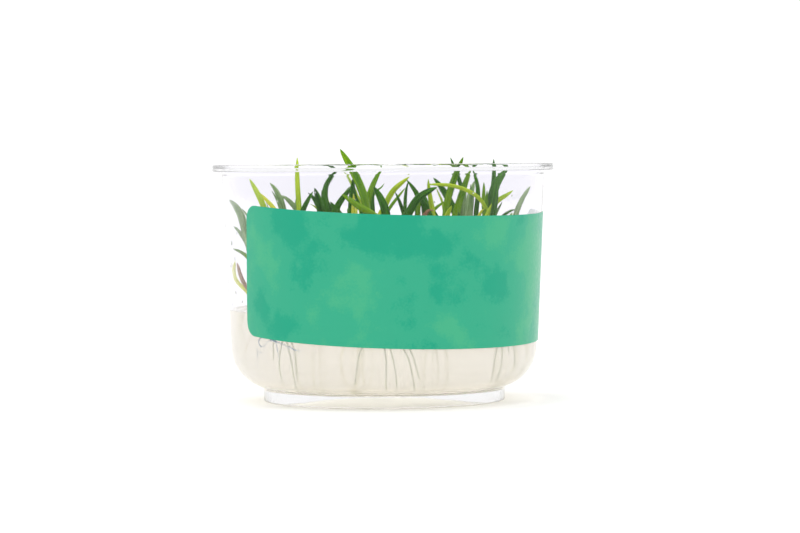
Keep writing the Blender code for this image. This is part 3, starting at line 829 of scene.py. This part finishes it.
BLADE_STATIONS = (
    (0.0, 0.80), (0.04, 0.77), (0.10, 0.80), (0.18, 0.87), (0.28, 0.95), (0.40, 1.0), (0.50, 1.0),
    (0.60, 1.0), (0.68, 0.99), (0.76, 0.96), (0.83, 0.90), (0.89, 0.79), (0.93, 0.65), (0.96, 0.48),
    (0.98, 0.30), (0.993, 0.13),
)
blade = straight_blank("blade", 12, 0.52, 0.2, BLADE_STATIONS)
apply_step(blade, "SUBSURF", levels=1, render_levels=1)
blade_points = np.array([vertex.co for vertex in blade.data.vertices])
blade_points[:, 2] = np.clip(blade_points[:, 2], 0.0, 1.0)
ROOT_STEPS = 22
KNOB_HEIGHT = 0.14
KNOB_TURN = 2.3
root_stations = []
for step in range(ROOT_STEPS):
    share = step / ROOT_STEPS
    knob = 1.0 + KNOB_HEIGHT * math.sin(KNOB_TURN * step)
    root_stations.append((share, knob * (1.0 - 0.5 * share)))
root_blank = straight_blank("root", 8, 1.0, 0.0, root_stations)
root_points = np.array([vertex.co for vertex in root_blank.data.vertices])
print("blade", len(blade.data.polygons), "faces, root", len(root_blank.data.polygons), "faces")

# %% [markdown]
# ## Laying a blank along a line
# A line is a few knots that the leaf runs through. Between them it is a smooth curve that keeps
# each knot's direction, which is how a spline works. Every point of the blank moves to its share of
# that curve, and stays as far beside and before it as it was. A slight wander keeps the leaves from
# being too perfect.

# %% Lay a blank along a line
chance = random.Random(7)
FULLER = 1.26
LEAF_WANDER = 0.15
ROOT_WANDER = 1.2
WALL_ROOT_WANDER = 0.3
CLOSE_BY = 0.01


def unit(rows):
    return rows / np.linalg.norm(rows, axis=-1)[..., None]


def slopes_of(knots, marks):
    """The curve's slope at each knot, from the runs before and after it."""
    runs = np.diff(knots, axis=0) / np.diff(marks)[:, None]
    gaps = np.diff(marks)
    slopes = [runs[0]]
    for place in range(1, len(runs)):
        near, far = gaps[place - 1], gaps[place]
        slopes.append((runs[place - 1] * far + runs[place] * near) / (near + far))
    return np.array(slopes + [runs[-1]])


def point_on(knots, marks, slopes, share):
    """The curve's points at these shares of its length."""
    place = np.clip(np.searchsorted(marks, share, side="right") - 1, 0, len(marks) - 2)
    gap = (marks[place + 1] - marks[place])[:, None]
    part = ((share - marks[place]) / gap[:, 0])[:, None]
    late = part * part * (3.0 - 2.0 * part)
    leaving = slopes[place] * gap * part * (1.0 - part) ** 2
    arriving = slopes[place + 1] * gap * part**2 * (part - 1.0)
    return knots[place] * (1.0 - late) + knots[place + 1] * late + leaving + arriving


def laid_along(name, blank, blank_points, line, wander):
    """A copy of a blank, laid along a line, with attributes for how far along and across."""
    share = blank_points[:, 2]
    marks, knots = np.array(line["marks"]), np.array(line["knots"])
    slopes = slopes_of(knots, marks)
    if "start" in line:
        slopes[0] = np.array(line["start"]) * np.linalg.norm(slopes[0])
    centre = point_on(knots, marks, slopes, share)
    ahead = point_on(knots, marks, slopes, np.minimum(share + CLOSE_BY, 1.0))
    behind = point_on(knots, marks, slopes, np.maximum(share - CLOSE_BY, 0.0))
    heading = unit(ahead - behind)
    sides = np.array(line["sides"])
    side = np.stack([np.interp(share, line["side_marks"], sides[:, k]) for k in range(3)], axis=1)
    side = unit(side - heading * (side * heading).sum(axis=1)[:, None])
    front = np.cross(heading, side) * line["hand"]
    sway = np.sin(share * chance.uniform(4.0, 9.0) + chance.uniform(0.0, 6.0)) * share * (1.0 - share) * 4.0
    centre = centre + side * (sway * wander * line["width"])[:, None]
    points = centre + (side * blank_points[:, 0:1] + front * blank_points[:, 1:2]) * line["width"]
    mesh = blank.data.copy()
    mesh.name = name
    mesh.vertices.foreach_set("co", points.ravel())
    mesh.attributes.new("along", "FLOAT", "POINT").data.foreach_set("value", share)
    spread = blank_points[:, 0] + chance.uniform(0.0, 20.0)
    mesh.attributes.new("across", "FLOAT", "POINT").data.foreach_set("value", spread)
    piece = bpy.data.objects.new(name, mesh)
    bpy.context.scene.collection.objects.link(piece)
    edit(piece)
    face_outwards()
    bpy.ops.object.shade_smooth()
    return piece


print("leaves come out", FULLER, "times as wide as their solids")

# %% [markdown]
# ## Leaves on their solids
# Each leaf's solid is six rings of points and a tip. The rings are found from the level base up,
# by steps along the solid's edges. Their middles are the knots of the leaf's line, their widest
# direction says which way the leaf faces, and the widest ring says how wide it is.


# %% Read a leaf's line from its solid
SAME_POINT = 0.01 * MM
RING_CORNERS = 5
SOLID_STATIONS = (0.0, 0.13, 0.4, 0.68, 0.86, 0.95, 1.0)


def merged_points(node):
    """The solid's points without doubles, and each one's neighbours."""
    mesh = nodes[node].data
    places = np.array([vertex.co for vertex in mesh.vertices])
    grid = (places / SAME_POINT).round()
    _, first, same = np.unique(grid, axis=0, return_index=True, return_inverse=True)
    same = same.ravel()
    neighbours = [set() for _ in first]
    for edge in mesh.edges:
        one, other = (int(same[v]) for v in edge.vertices)
        if one != other:
            neighbours[one].add(other)
            neighbours[other].add(one)
    return places[first], neighbours


def leaf_rings(node):
    """The leaf's rings of points from its level base to its tip, by steps along its edges."""
    places, neighbours = merged_points(node)
    ring = {int(i) for i in np.argsort(places[:, 2])[:RING_CORNERS]}
    seen = set(ring)
    rings = []
    while ring:
        rings.append(places[sorted(ring)])
        ring = {other for one in ring for other in neighbours[one]} - seen
        seen |= ring
    return rings


def ring_facing(ring):
    """A ring's width, its direction across, and the direction of its hollow side."""
    gaps = np.linalg.norm(ring[:, None] - ring[None, :], axis=2)
    one, other = np.unravel_index(gaps.argmax(), gaps.shape)
    width = gaps.max()
    hollow = 0.5 * (ring[one] + ring[other]) - ring.mean(axis=0)
    return width, (ring[other] - ring[one]) / width, hollow


def line_of_solid(node):
    """The line that a leaf's solid was built on."""
    rings = leaf_rings(node)
    _, side, hollow = ring_facing(rings[0])
    sides = [side]
    for ring in rings[1:6]:
        turned = ring_facing(ring)[1]
        sides.append(turned if turned @ sides[-1] > 0 else -turned)
    hand = 1.0 if np.cross((0.0, 0.0, 1.0), side) @ hollow > 0 else -1.0
    return {
        "knots": [ring.mean(axis=0) for ring in rings],
        "marks": SOLID_STATIONS,
        "start": (0.0, 0.0, 1.0),
        "width": max(ring_facing(ring)[0] for ring in rings[:6]),
        "sides": sides,
        "side_marks": SOLID_STATIONS[:6],
        "hand": hand,
    }


leaf_names = sorted(node for node in nodes if node.startswith("leaf_"))
print(len(leaf_names), "leaf solids, the first with", len(leaf_rings(leaf_names[0])), "rings")

# %% Grow the leaves
for name in leaf_names:
    line = line_of_solid(name)
    line["width"] *= FULLER
    leaf = laid_along(name + "_blade", blade, blade_points, line, LEAF_WANDER)
    leaf.data.materials.append(leaf_finishes[slots[name]])
    finish_piece(leaf, slots[name], name)

# %% [markdown]
# ## More leaves
# A tuft has more leaves than the solids show: thin young ones, others that stand behind, and one
# dead brown one that has curled over. They are placed along the same kind of line, from
# the plantlet's crown through a few points up to the tip. Short new leaves fill each tuft low down.

# %% Place more leaves
MORE_LEAVES = (
    ("left", "leaf_pale", 0.6, ((-40.6, -5.8, 56.0), (-41.8, -6.0, 57.7))),
    ("front_left", "leaf_pale", 0.4, ((-33.5, -17.2, 58.1), (-34.1, -17.0, 59.8))),
    ("front_left", "leaf_pale", 0.6, (
        (-30.1, -16.8, 58.0), (-31.0, -16.4, 60.4), (-31.9, -16.2, 62.0), (-32.6, -16.0, 63.0),
    )),
    ("front_left", "leaf_pale", 1.4, ((-29.8, -12.9, 57.7), (-29.5, -12.3, 60.0), (-29.3, -12.0, 61.2))),
    ("front_left", "leaf_pale", 0.7, ((-25.4, -17.3, 57.6), (-25.5, -17.2, 59.2), (-25.5, -17.0, 60.4))),
    ("middle_left", "leaf_lime", 0.6, ((-18.9, -8.0, 56.8), (-20.1, -8.5, 58.0), (-21.6, -9.0, 58.9))),
    ("middle_left", "leaf_dark", 1.6, (
        (-16.8, 1.6, 56.7), (-17.5, 1.8, 59.2), (-18.0, 1.9, 61.5), (-18.3, 2.0, 62.9),
    )),
    ("middle_left", "leaf_lime", 0.5, (
        (-16.2, 5.0, 56.7), (-16.4, 5.4, 58.8), (-16.8, 5.7, 60.5), (-16.9, 6.0, 62.5),
    )),
    ("middle_left", "leaf_dark", 1.2, ((-15.3, -0.9, 56.8), (-15.9, -1.0, 58.1), (-16.5, -1.0, 59.5))),
    ("middle_left", "leaf_dark", 1.3, ((-13.6, -2.7, 56.5), (-14.8, -2.8, 57.9), (-15.8, -3.0, 59.4))),
    ("middle_left", "leaf_dark", 1.1, ((-18.8, -1.6, 56.6), (-20.0, -1.8, 59.9), (-21.8, -2.0, 62.0))),
    ("middle_left", "leaf_dark", 1.1, ((-15.9, 2.5, 56.5), (-17.4, 2.8, 59.8), (-18.6, 3.0, 62.3))),
    ("front", "leaf_mid", 1.2, ((-3.7, -27.6, 56.4), (-5.7, -27.3, 57.7), (-7.7, -27.0, 59.0))),
    ("front", "leaf_lime", 1.3, ((-4.4, -26.1, 56.5), (-5.1, -25.5, 60.0), (-6.0, -25.0, 62.9))),
    ("middle", "leaf_dark", 1.5, ((6.7, -12.6, 55.6), (8.7, -13.3, 57.8), (10.8, -14.0, 60.2))),
    ("middle", "leaf_dark", 1.8, ((13.2, -11.0, 55.7), (11.9, -11.5, 58.4), (10.7, -12.0, 61.1))),
    ("back_right", "leaf_pale", 1.5, (
        (23.9, 21.5, 54.9), (24.2, 21.6, 57.7), (24.8, 21.8, 60.7), (25.4, 22.0, 64.1),
    )),
    ("back_right", "leaf_mid", 1.3, ((22.1, 15.3, 55.4), (23.1, 14.5, 59.6), (24.2, 14.0, 62.7))),
    ("back_right", "leaf_pale", 1.6, ((26.4, 24.6, 55.2), (27.1, 25.4, 59.8), (27.6, 26.0, 63.3))),
    ("front_right", "leaf_dark", 1.8, ((31.2, -17.8, 55.9), (31.9, -17.9, 60.8), (32.6, -18.0, 64.3))),
    ("front_right", "leaf_mid", 0.9, ((30.0, -18.6, 55.9), (30.2, -18.8, 59.7), (30.3, -19.0, 62.6))),
    ("middle_left", "leaf_dark", 0.5, ((-14.2, -3.7, 55.6), (-13.5, -3.9, 56.5), (-12.7, -4.0, 57.3))),
    ("middle_left", "leaf_pale", 0.9, (
        (-12.1, -0.9, 60.3), (-10.9, -0.9, 62.4), (-10.1, -1.0, 63.4), (-9.0, -1.0, 64.3),
    )),
    ("front", "leaf_yellow", 1.0, (
        (-8.5, -30.2, 56.5), (-8.4, -30.1, 58.9), (-8.3, -30.0, 60.7), (-8.4, -30.0, 62.0),
    )),
    ("front", "leaf_yellow", 0.8, ((-7.6, -31.9, 56.6), (-7.4, -32.0, 58.4), (-7.4, -32.0, 59.4))),
    ("front", "leaf_dark", 0.7, (
        (-6.3, -27.9, 57.2), (-6.8, -27.7, 58.8), (-7.6, -27.5, 60.7),
        (-8.2, -27.2, 63.5), (-8.3, -27.0, 66.0),
    )),
    ("front", "leaf_lime", 0.7, (
        (-5.7, -26.8, 57.1), (-6.2, -26.5, 58.8), (-6.9, -26.3, 60.6), (-7.6, -26.0, 62.5),
    )),
    ("front", "leaf_pale", 0.7, (
        (-4.0, -23.5, 58.8), (-4.3, -22.9, 61.1), (-5.1, -22.5, 62.8), (-6.2, -22.0, 64.6),
    )),
    ("front", "leaf_dark", 1.4, (
        (-3.4, -25.3, 57.2), (-3.4, -24.9, 59.5), (-3.1, -24.5, 61.7), (-2.7, -24.0, 64.2),
    )),
    ("front", "leaf_mid", 0.6, (
        (-3.1, -21.5, 60.8), (-1.9, -20.9, 62.7), (-0.6, -20.5, 63.6), (0.5, -20.0, 64.9),
    )),
    ("front", "leaf_yellow", 0.7, ((-1.3, -33.9, 56.2), (-0.9, -34.0, 57.5))),
    ("middle", "leaf_dark", 0.6, (
        (10.3, -9.2, 55.9), (10.5, -9.5, 58.5), (10.6, -9.8, 61.2), (10.1, -10.0, 62.9),
    )),
    ("middle", "leaf_mid", 1.1, ((10.2, -14.3, 55.7), (10.3, -15.2, 58.6), (10.5, -16.0, 61.2))),
    ("middle", "leaf_mid", 0.6, ((8.0, -11.5, 55.3), (8.7, -11.8, 56.2), (9.8, -12.0, 56.8))),
    ("middle", "leaf_brown", 1.0, (
        (12.6, -16.0, 56.0), (13.6, -16.4, 57.0), (14.4, -16.7, 57.0), (14.8, -17.0, 56.4),
    )),
    ("middle", "leaf_dark", 0.8, ((15.7, -14.5, 55.5), (15.1, -15.0, 56.8))),
    ("back_right", "leaf_lime", 0.6, (
        (18.6, 16.8, 56.3), (18.0, 16.5, 59.1), (17.2, 16.3, 61.0), (16.2, 16.0, 63.4),
    )),
    ("back_right", "leaf_lime", 1.3, ((19.6, 11.0, 55.0), (20.3, 10.5, 56.5), (20.9, 10.0, 57.9))),
    ("front_right", "leaf_pale", 0.7, ((33.3, -12.6, 56.0), (34.1, -12.3, 57.5), (35.0, -12.0, 59.2))),
    ("front_right", "leaf_yellow", 1.0, ((28.3, -12.4, 54.9), (28.8, -12.2, 56.1), (29.7, -12.0, 57.1))),
    ("front_right", "leaf_dark", 0.6, ((33.0, -20.7, 60.9), (33.3, -20.9, 62.6), (33.9, -21.0, 63.7))),
    ("back_right", "leaf_dark", 0.7, ((27.5, 29.5, 59.1), (27.4, 30.4, 62.2), (27.2, 31.0, 64.1))),
)
crown_tops = {}
for name in nodes:
    if name.startswith("crown_"):
        places = np.array([vertex.co for vertex in nodes[name].data.vertices])
        crown_tops[name.removeprefix("crown_")] = places[places[:, 2].argmax()]
FRONT = np.array((0.0, -1.0, 0.0))
LEAF_FOOT_OUT = 1.5 * MM
STRAIGHT_UP = 0.5 * MM


def shares_of(knots):
    """Each knot's share of the line's length."""
    lengths = np.linalg.norm(np.diff(knots, axis=0), axis=1)
    return np.concatenate([[0.0], np.cumsum(lengths) / lengths.sum()])


def line_from_crown(plantlet, points, width):
    """A line that leaves the plantlet's crown upright on the side that the leaf grows to."""
    top = crown_tops[plantlet]
    reach = np.array(points[0][:2]) - top[:2]
    outward = np.append(reach / max(np.linalg.norm(reach), MM), 0.0)
    if np.linalg.norm(reach) < STRAIGHT_UP:
        outward = FRONT
    base = np.array((top[0], top[1], gel_level)) + outward * LEAF_FOOT_OUT
    knots = np.array([base, *points])
    level = np.array((-outward[1], outward[0], 0.0))
    to_front = np.array((1.0 if level[0] >= 0 else -1.0, 0.0, 0.0))
    hand = 1.0 if np.cross((0.0, 0.0, 1.0), level) @ -outward > 0 else -1.0
    return {
        "knots": knots,
        "marks": shares_of(knots),
        "start": (0.0, 0.0, 1.0),
        "width": width,
        "sides": [level, unit(0.3 * level + 0.7 * to_front)],
        "side_marks": (0.0, 0.8),
        "hand": hand,
    }


for count, (plantlet, tone, width, points) in enumerate(MORE_LEAVES):
    line = line_from_crown(plantlet, np.array(points) * MM, width * FULLER * MM)
    leaf = laid_along(f"more_leaf_{count + 1}", blade, blade_points, line, LEAF_WANDER)
    leaf.data.materials.append(leaf_finishes[tone])
    finish_piece(leaf, tone)

# %% Fill each tuft with short new leaves
SHORT_LEAVES = 3
for plantlet, crown_top in sorted(crown_tops.items()):
    for count in range(SHORT_LEAVES):
        turn = 2.0 * math.pi * (count + chance.uniform(0.1, 0.6)) / SHORT_LEAVES
        if plantlet == "left":
            turn = math.radians(chance.uniform(-60.0, 60.0))
        tall = chance.uniform(10.0, 21.0) * MM
        reach = chance.uniform(3.0, 6.0) * MM
        lean = np.array((math.cos(turn), math.sin(turn), 0.0))
        points = [crown_top + lean * reach * 0.7, crown_top + lean * reach]
        points[0][2] = gel_level + tall * 0.6
        points[1][2] = gel_level + tall
        tone = chance.choice(("leaf_lime", "leaf_mid", "leaf_pale"))
        line = line_from_crown(plantlet, points, chance.uniform(0.9, 1.3) * MM)
        leaf = laid_along(f"short_leaf_{plantlet}_{count + 1}", blade, blade_points, line, LEAF_WANDER)
        leaf.data.materials.append(leaf_finishes[tone])
        finish_piece(leaf, tone)

# %% [markdown]
# ## Crowns and roots
# A crown is the plantlet's short stem, wrapped in the pale feet of its leaves, and its roots grow
# down into the gel. The crown starts as a sphere that is squeezed to the height of the solid's
# stem, and every fourth meridian is drawn in a little, which makes the folds between the sheaths.
# The roots are copies of the root blank. Crown and roots are one piece, because they grew as one.

# %% Mix the crown's and roots' tissue
def pale_tissue(name, light, shade):
    """Creamy root tissue between two tones, with fine fibres."""
    made, tree, shader, fibres = mottled_finish(name, 1400.0, (0.4, 0.65), shade, light)
    tune(shader, Specular_IOR_Level=0.2)
    add_bump(tree, shader, fibres, 0.1 * MM)
    return made


young_root = pale_tissue("young root", (0.92, 0.89, 0.78), (0.84, 0.82, 0.68))
old_root = pale_tissue("old root", (0.46, 0.49, 0.28), (0.30, 0.34, 0.16))
print("mixed two root tones")

# %% Grow the crowns and their roots
ROOT_ENDS = {
    "left": ((-37.5, -6.0, 11.5), (-33.0, -1.0, 9.0), (-36.0, 3.0, 14.0)),
    "front_left": ((-28.0, -24.0, 6.6), (-24.0, -23.0, 6.8), (-30.5, -25.0, 14.0), (-22.5, -19.0, 11.0)),
    "middle_left": ((-20.0, -2.0, 10.0), (-16.0, -3.0, 8.6), (-14.0, 2.0, 12.0)),
    "front": (
        (-8.0, -29.0, 9.3), (0.5, -30.0, 8.0), (3.5, -33.0, 8.0), (8.6, -31.0, 7.5), (9.4, -27.0, 10.5),
    ),
    "back_left": ((-9.0, 18.0, 9.0), (-4.0, 17.0, 11.0), (-5.0, 24.0, 8.0)),
    "middle": ((9.0, -8.0, 10.0), (13.0, -9.0, 8.0), (15.0, -4.0, 11.0)),
    "back_right": ((21.0, 18.0, 9.0), (26.0, 17.0, 7.5), (25.0, 23.0, 11.0)),
    "front_right": ((29.0, -20.0, 7.4), (30.5, -18.0, 7.0), (33.5, -19.0, 15.0), (35.0, -14.0, 12.0)),
    "right": ((33.0, 7.0, 9.0), (37.0, 8.0, 10.0), (36.0, 12.0, 12.5)),
}
FRONT_TUFTS = ("front_left", "front", "front_right")
CROWN_RADIUS = 1.7 * MM
CROWN_BELOW = 3.4 * MM
FOLD_DEPTH = 0.84
ROOT_WIDTH = 0.55 * MM
FINE_ROOT_WIDTH = 0.25 * MM
ROOT_START_BELOW = 1.6 * MM
FORK_SHARE = 0.55
LOWEST_ROOT = 6.5 * MM


def grown_crown(plantlet):
    """The crown's egg with a fold between each two sheaths."""
    top = crown_tops[plantlet]
    tall = top[2] - gel_level + CROWN_BELOW
    egg = {"segments": 24, "ring_count": 12, "radius": 1.0}
    piece = started(f"crown_{plantlet}_grown", bpy.ops.mesh.primitive_uv_sphere_add, **egg)
    for vertex in piece.data.vertices:
        turn = math.degrees(math.atan2(vertex.co.y, vertex.co.x))
        vertex.select = round(turn / 15.0) % 4 == 0 and abs(vertex.co.z) < 0.97
    bpy.ops.object.mode_set(mode="EDIT")
    bpy.ops.transform.resize(value=(FOLD_DEPTH, FOLD_DEPTH, 1.0))
    leave_edit()
    piece.scale = (CROWN_RADIUS, CROWN_RADIUS, 0.5 * tall)
    piece.location = (top[0], top[1], top[2] - 0.5 * tall)
    settle(piece)
    bpy.ops.object.shade_smooth()
    return piece


def laid_root(name, knots, marks, side, width, wander):
    """A copy of the root blank along these knots, turned by one direction to its side."""
    line = {"knots": knots, "marks": marks, "width": width, "hand": 1.0}
    line["sides"] = [side, side]
    line["side_marks"] = (0.0, 1.0)
    return laid_along(name, root_blank, root_points, line, wander)


def grown_root(name, start, end, width):
    """One root that leans out first and then grows down."""
    bend = start + (end - start) * 0.7
    bend[2] = 0.5 * (start[2] + end[2])
    reach = end - start
    side = unit(np.array((-reach[1], reach[0], 0.1 * MM)))
    return laid_root(name, [start, bend, end], (0.0, 0.55, 1.0), side, width, ROOT_WANDER)


for plantlet, ends in ROOT_ENDS.items():
    top = crown_tops[plantlet]
    start = np.array((top[0], top[1], gel_level - ROOT_START_BELOW))
    crown = grown_crown(plantlet)
    roots = []
    for count, end in enumerate(ends):
        end = np.array(end) * MM
        roots.append(grown_root(f"root_{plantlet}_{count}", start, end, ROOT_WIDTH))
        if plantlet in FRONT_TUFTS:
            continue
        fork = start + (end - start) * FORK_SHARE
        tip = fork + np.array((chance.uniform(-3.0, 3.0), chance.uniform(-2.0, 2.0), -5.0)) * MM
        tip[2] = max(tip[2], LOWEST_ROOT)
        roots.append(grown_root(f"fine_root_{plantlet}_{count}", start, tip, FINE_ROOT_WIDTH))
    finish = old_root if plantlet in FRONT_TUFTS else young_root
    for part in [crown, *roots]:
        part.data.materials.clear()
        part.data.materials.append(finish)
    pick_only(crown)
    for part in roots:
        part.select_set(True)
    bpy.ops.object.join()
    finish_piece(crown, "crown", f"crown_{plantlet}")

# %% [markdown]
# ## Roots against the wall
# A few roots have reached the wall at the left and run along it. They are the only ones that are
# seen sharply, six of them grey and two brown. So they are laid through given points on the gel's
# side, and take two darker tones of root tissue.

# %% Lay the roots that have reached the wall
ALONG_WALL = (0.64, 0.77, 0.0)
WALL_ROOTS = (
    ("grey", 0.42, (
        (-33.6, -30.1, 21.1), (-35.4, -27.8, 20.2), (-36.0, -27.1, 19.2), (-35.5, -27.7, 18.0),
        (-34.1, -29.3, 18.3), (-33.2, -30.5, 19.5), (-31.8, -31.9, 19.7), (-30.2, -33.4, 19.0),
    )),
    ("grey", 0.55, (
        (-33.3, -30.4, 20.5), (-31.8, -31.9, 20.0), (-30.3, -33.3, 19.4), (-28.6, -34.8, 18.8),
        (-26.7, -36.1, 17.7),
    )),
    ("grey", 0.34, ((-31.1, -32.6, 20.0), (-30.6, -33.0, 18.1), (-29.9, -33.3, 14.6))),
    ("grey", 0.4, ((-27.1, -35.9, 18.4), (-25.3, -37.2, 17.4), (-23.2, -38.5, 17.1))),
    ("grey", 0.34, ((-36.2, -26.5, 16.5), (-35.5, -27.5, 16.2), (-34.6, -28.6, 16.0))),
    ("grey", 0.28, ((-36.5, -26.2, 17.7), (-36.3, -26.3, 15.1), (-36.5, -24.2, 11.4))),
    ("brown", 0.28, ((-42.3, -16.0, 23.3), (-40.9, -19.3, 22.9), (-39.3, -22.3, 22.2))),
    ("brown", 0.3, ((-38.3, -23.7, 20.7), (-39.5, -21.6, 17.7), (-40.7, -18.3, 14.1))),
)
wall_tissues = {
    "grey": pale_tissue("grey root", (0.34, 0.40, 0.48), (0.22, 0.28, 0.36)),
    "brown": pale_tissue("brown root", (0.50, 0.44, 0.32), (0.36, 0.30, 0.20)),
}
print("mixed", ", ".join(wall_tissues), "root tissue")
for count, (tissue, width, points) in enumerate(WALL_ROOTS):
    knots = np.array(points) * MM
    name = f"wall_root_{count + 1}"
    root = laid_root(name, knots, shares_of(knots), ALONG_WALL, width * MM, WALL_ROOT_WANDER)
    root.data.materials.append(wall_tissues[tissue])
    finish_piece(root, "crown")

# %% Put the straight blanks away
bpy.data.objects.remove(blade)
bpy.data.objects.remove(root_blank)
print("blanks removed")

# %% [markdown]
# ## Drops on the wall
# When the gel was poured, it left small clear drops on the inside of the wall: the larger ones at
# the left and behind, and tiny ones under the collar. A drop is the flat cap of a sphere: a sphere
# is squeezed, cut through near its middle and filled, and then copied to its places with its flat
# side on the wall.

# %% Set the drops
WATER_IOR = 1.33
drop_finish, drop_tree, drop_shader, drop_output = new_material("clear drop")
tune(drop_shader, Base_Color=(0.98, 0.985, 1.0, 1.0), Transmission_Weight=1.0, IOR=WATER_IOR)
wet = mottled(drop_tree, 300.0, 0.0, 0.04)
wire(drop_tree, (wet, "Spread", drop_shader, "Roughness"))
let_lamps_through(drop_tree, drop_shader, drop_output, (0.98, 0.985, 0.99))
# angle from the front towards +X in degrees, height and size in millimetres
DROPS = (
    (-72.0, 47.5, 1.1), (-69.0, 43.0, 0.8), (-75.0, 41.0, 1.3), (-66.0, 50.5, 0.6), (-70.0, 33.0, 0.9),
    (-64.0, 30.5, 0.7), (-76.0, 29.6, 1.0), (-58.0, 29.4, 0.6), (-40.0, 60.0, 0.5), (-24.0, 62.5, 0.45),
    (-12.0, 61.0, 0.4), (6.0, 63.0, 0.4), (18.0, 59.5, 0.5), (33.0, 62.0, 0.45), (52.0, 61.0, 0.5),
    (120.0, 45.0, 0.9), (150.0, 52.0, 0.7), (188.0, 39.0, 1.0), (205.0, 48.0, 0.8), (232.0, 36.0, 0.9),
)
DROP_SMOOTH = math.radians(60.0)
ball = {"segments": 16, "ring_count": 10, "radius": 0.5}
drop = started("drop", bpy.ops.mesh.primitive_uv_sphere_add, **ball)
edit(drop)
bpy.ops.transform.resize(value=(1.0, 0.5, 1.15))
cut_away = {"clear_outer": True, "use_fill": True}
bpy.ops.mesh.bisect(plane_co=(0.0, -0.05, 0.0), plane_no=(0.0, -1.0, 0.0), **cut_away)
face_outwards()
bpy.ops.object.shade_smooth_by_angle(angle=DROP_SMOOTH)
drop.data.materials.append(drop_finish)
drops = []
for angle, height, size in DROPS:
    inner = wall_radius(height * MM) - WALL
    turn = Matrix.Rotation(math.radians(angle), 4, "Z")
    stand = Matrix.Translation((0.0, -inner, height * MM)) @ Matrix.Scale(size * MM, 4)
    mesh = drop.data.copy()
    mesh.transform(turn @ stand)
    piece = bpy.data.objects.new("wall_drop", mesh)
    bpy.context.scene.collection.objects.link(piece)
    drops.append(piece)
bpy.data.objects.remove(drop)
pick_only(drops[0])
for piece in drops[1:]:
    piece.select_set(True)
bpy.ops.object.join()
drops[0].name = "wall_drops"
finish_piece(drops[0], "gel")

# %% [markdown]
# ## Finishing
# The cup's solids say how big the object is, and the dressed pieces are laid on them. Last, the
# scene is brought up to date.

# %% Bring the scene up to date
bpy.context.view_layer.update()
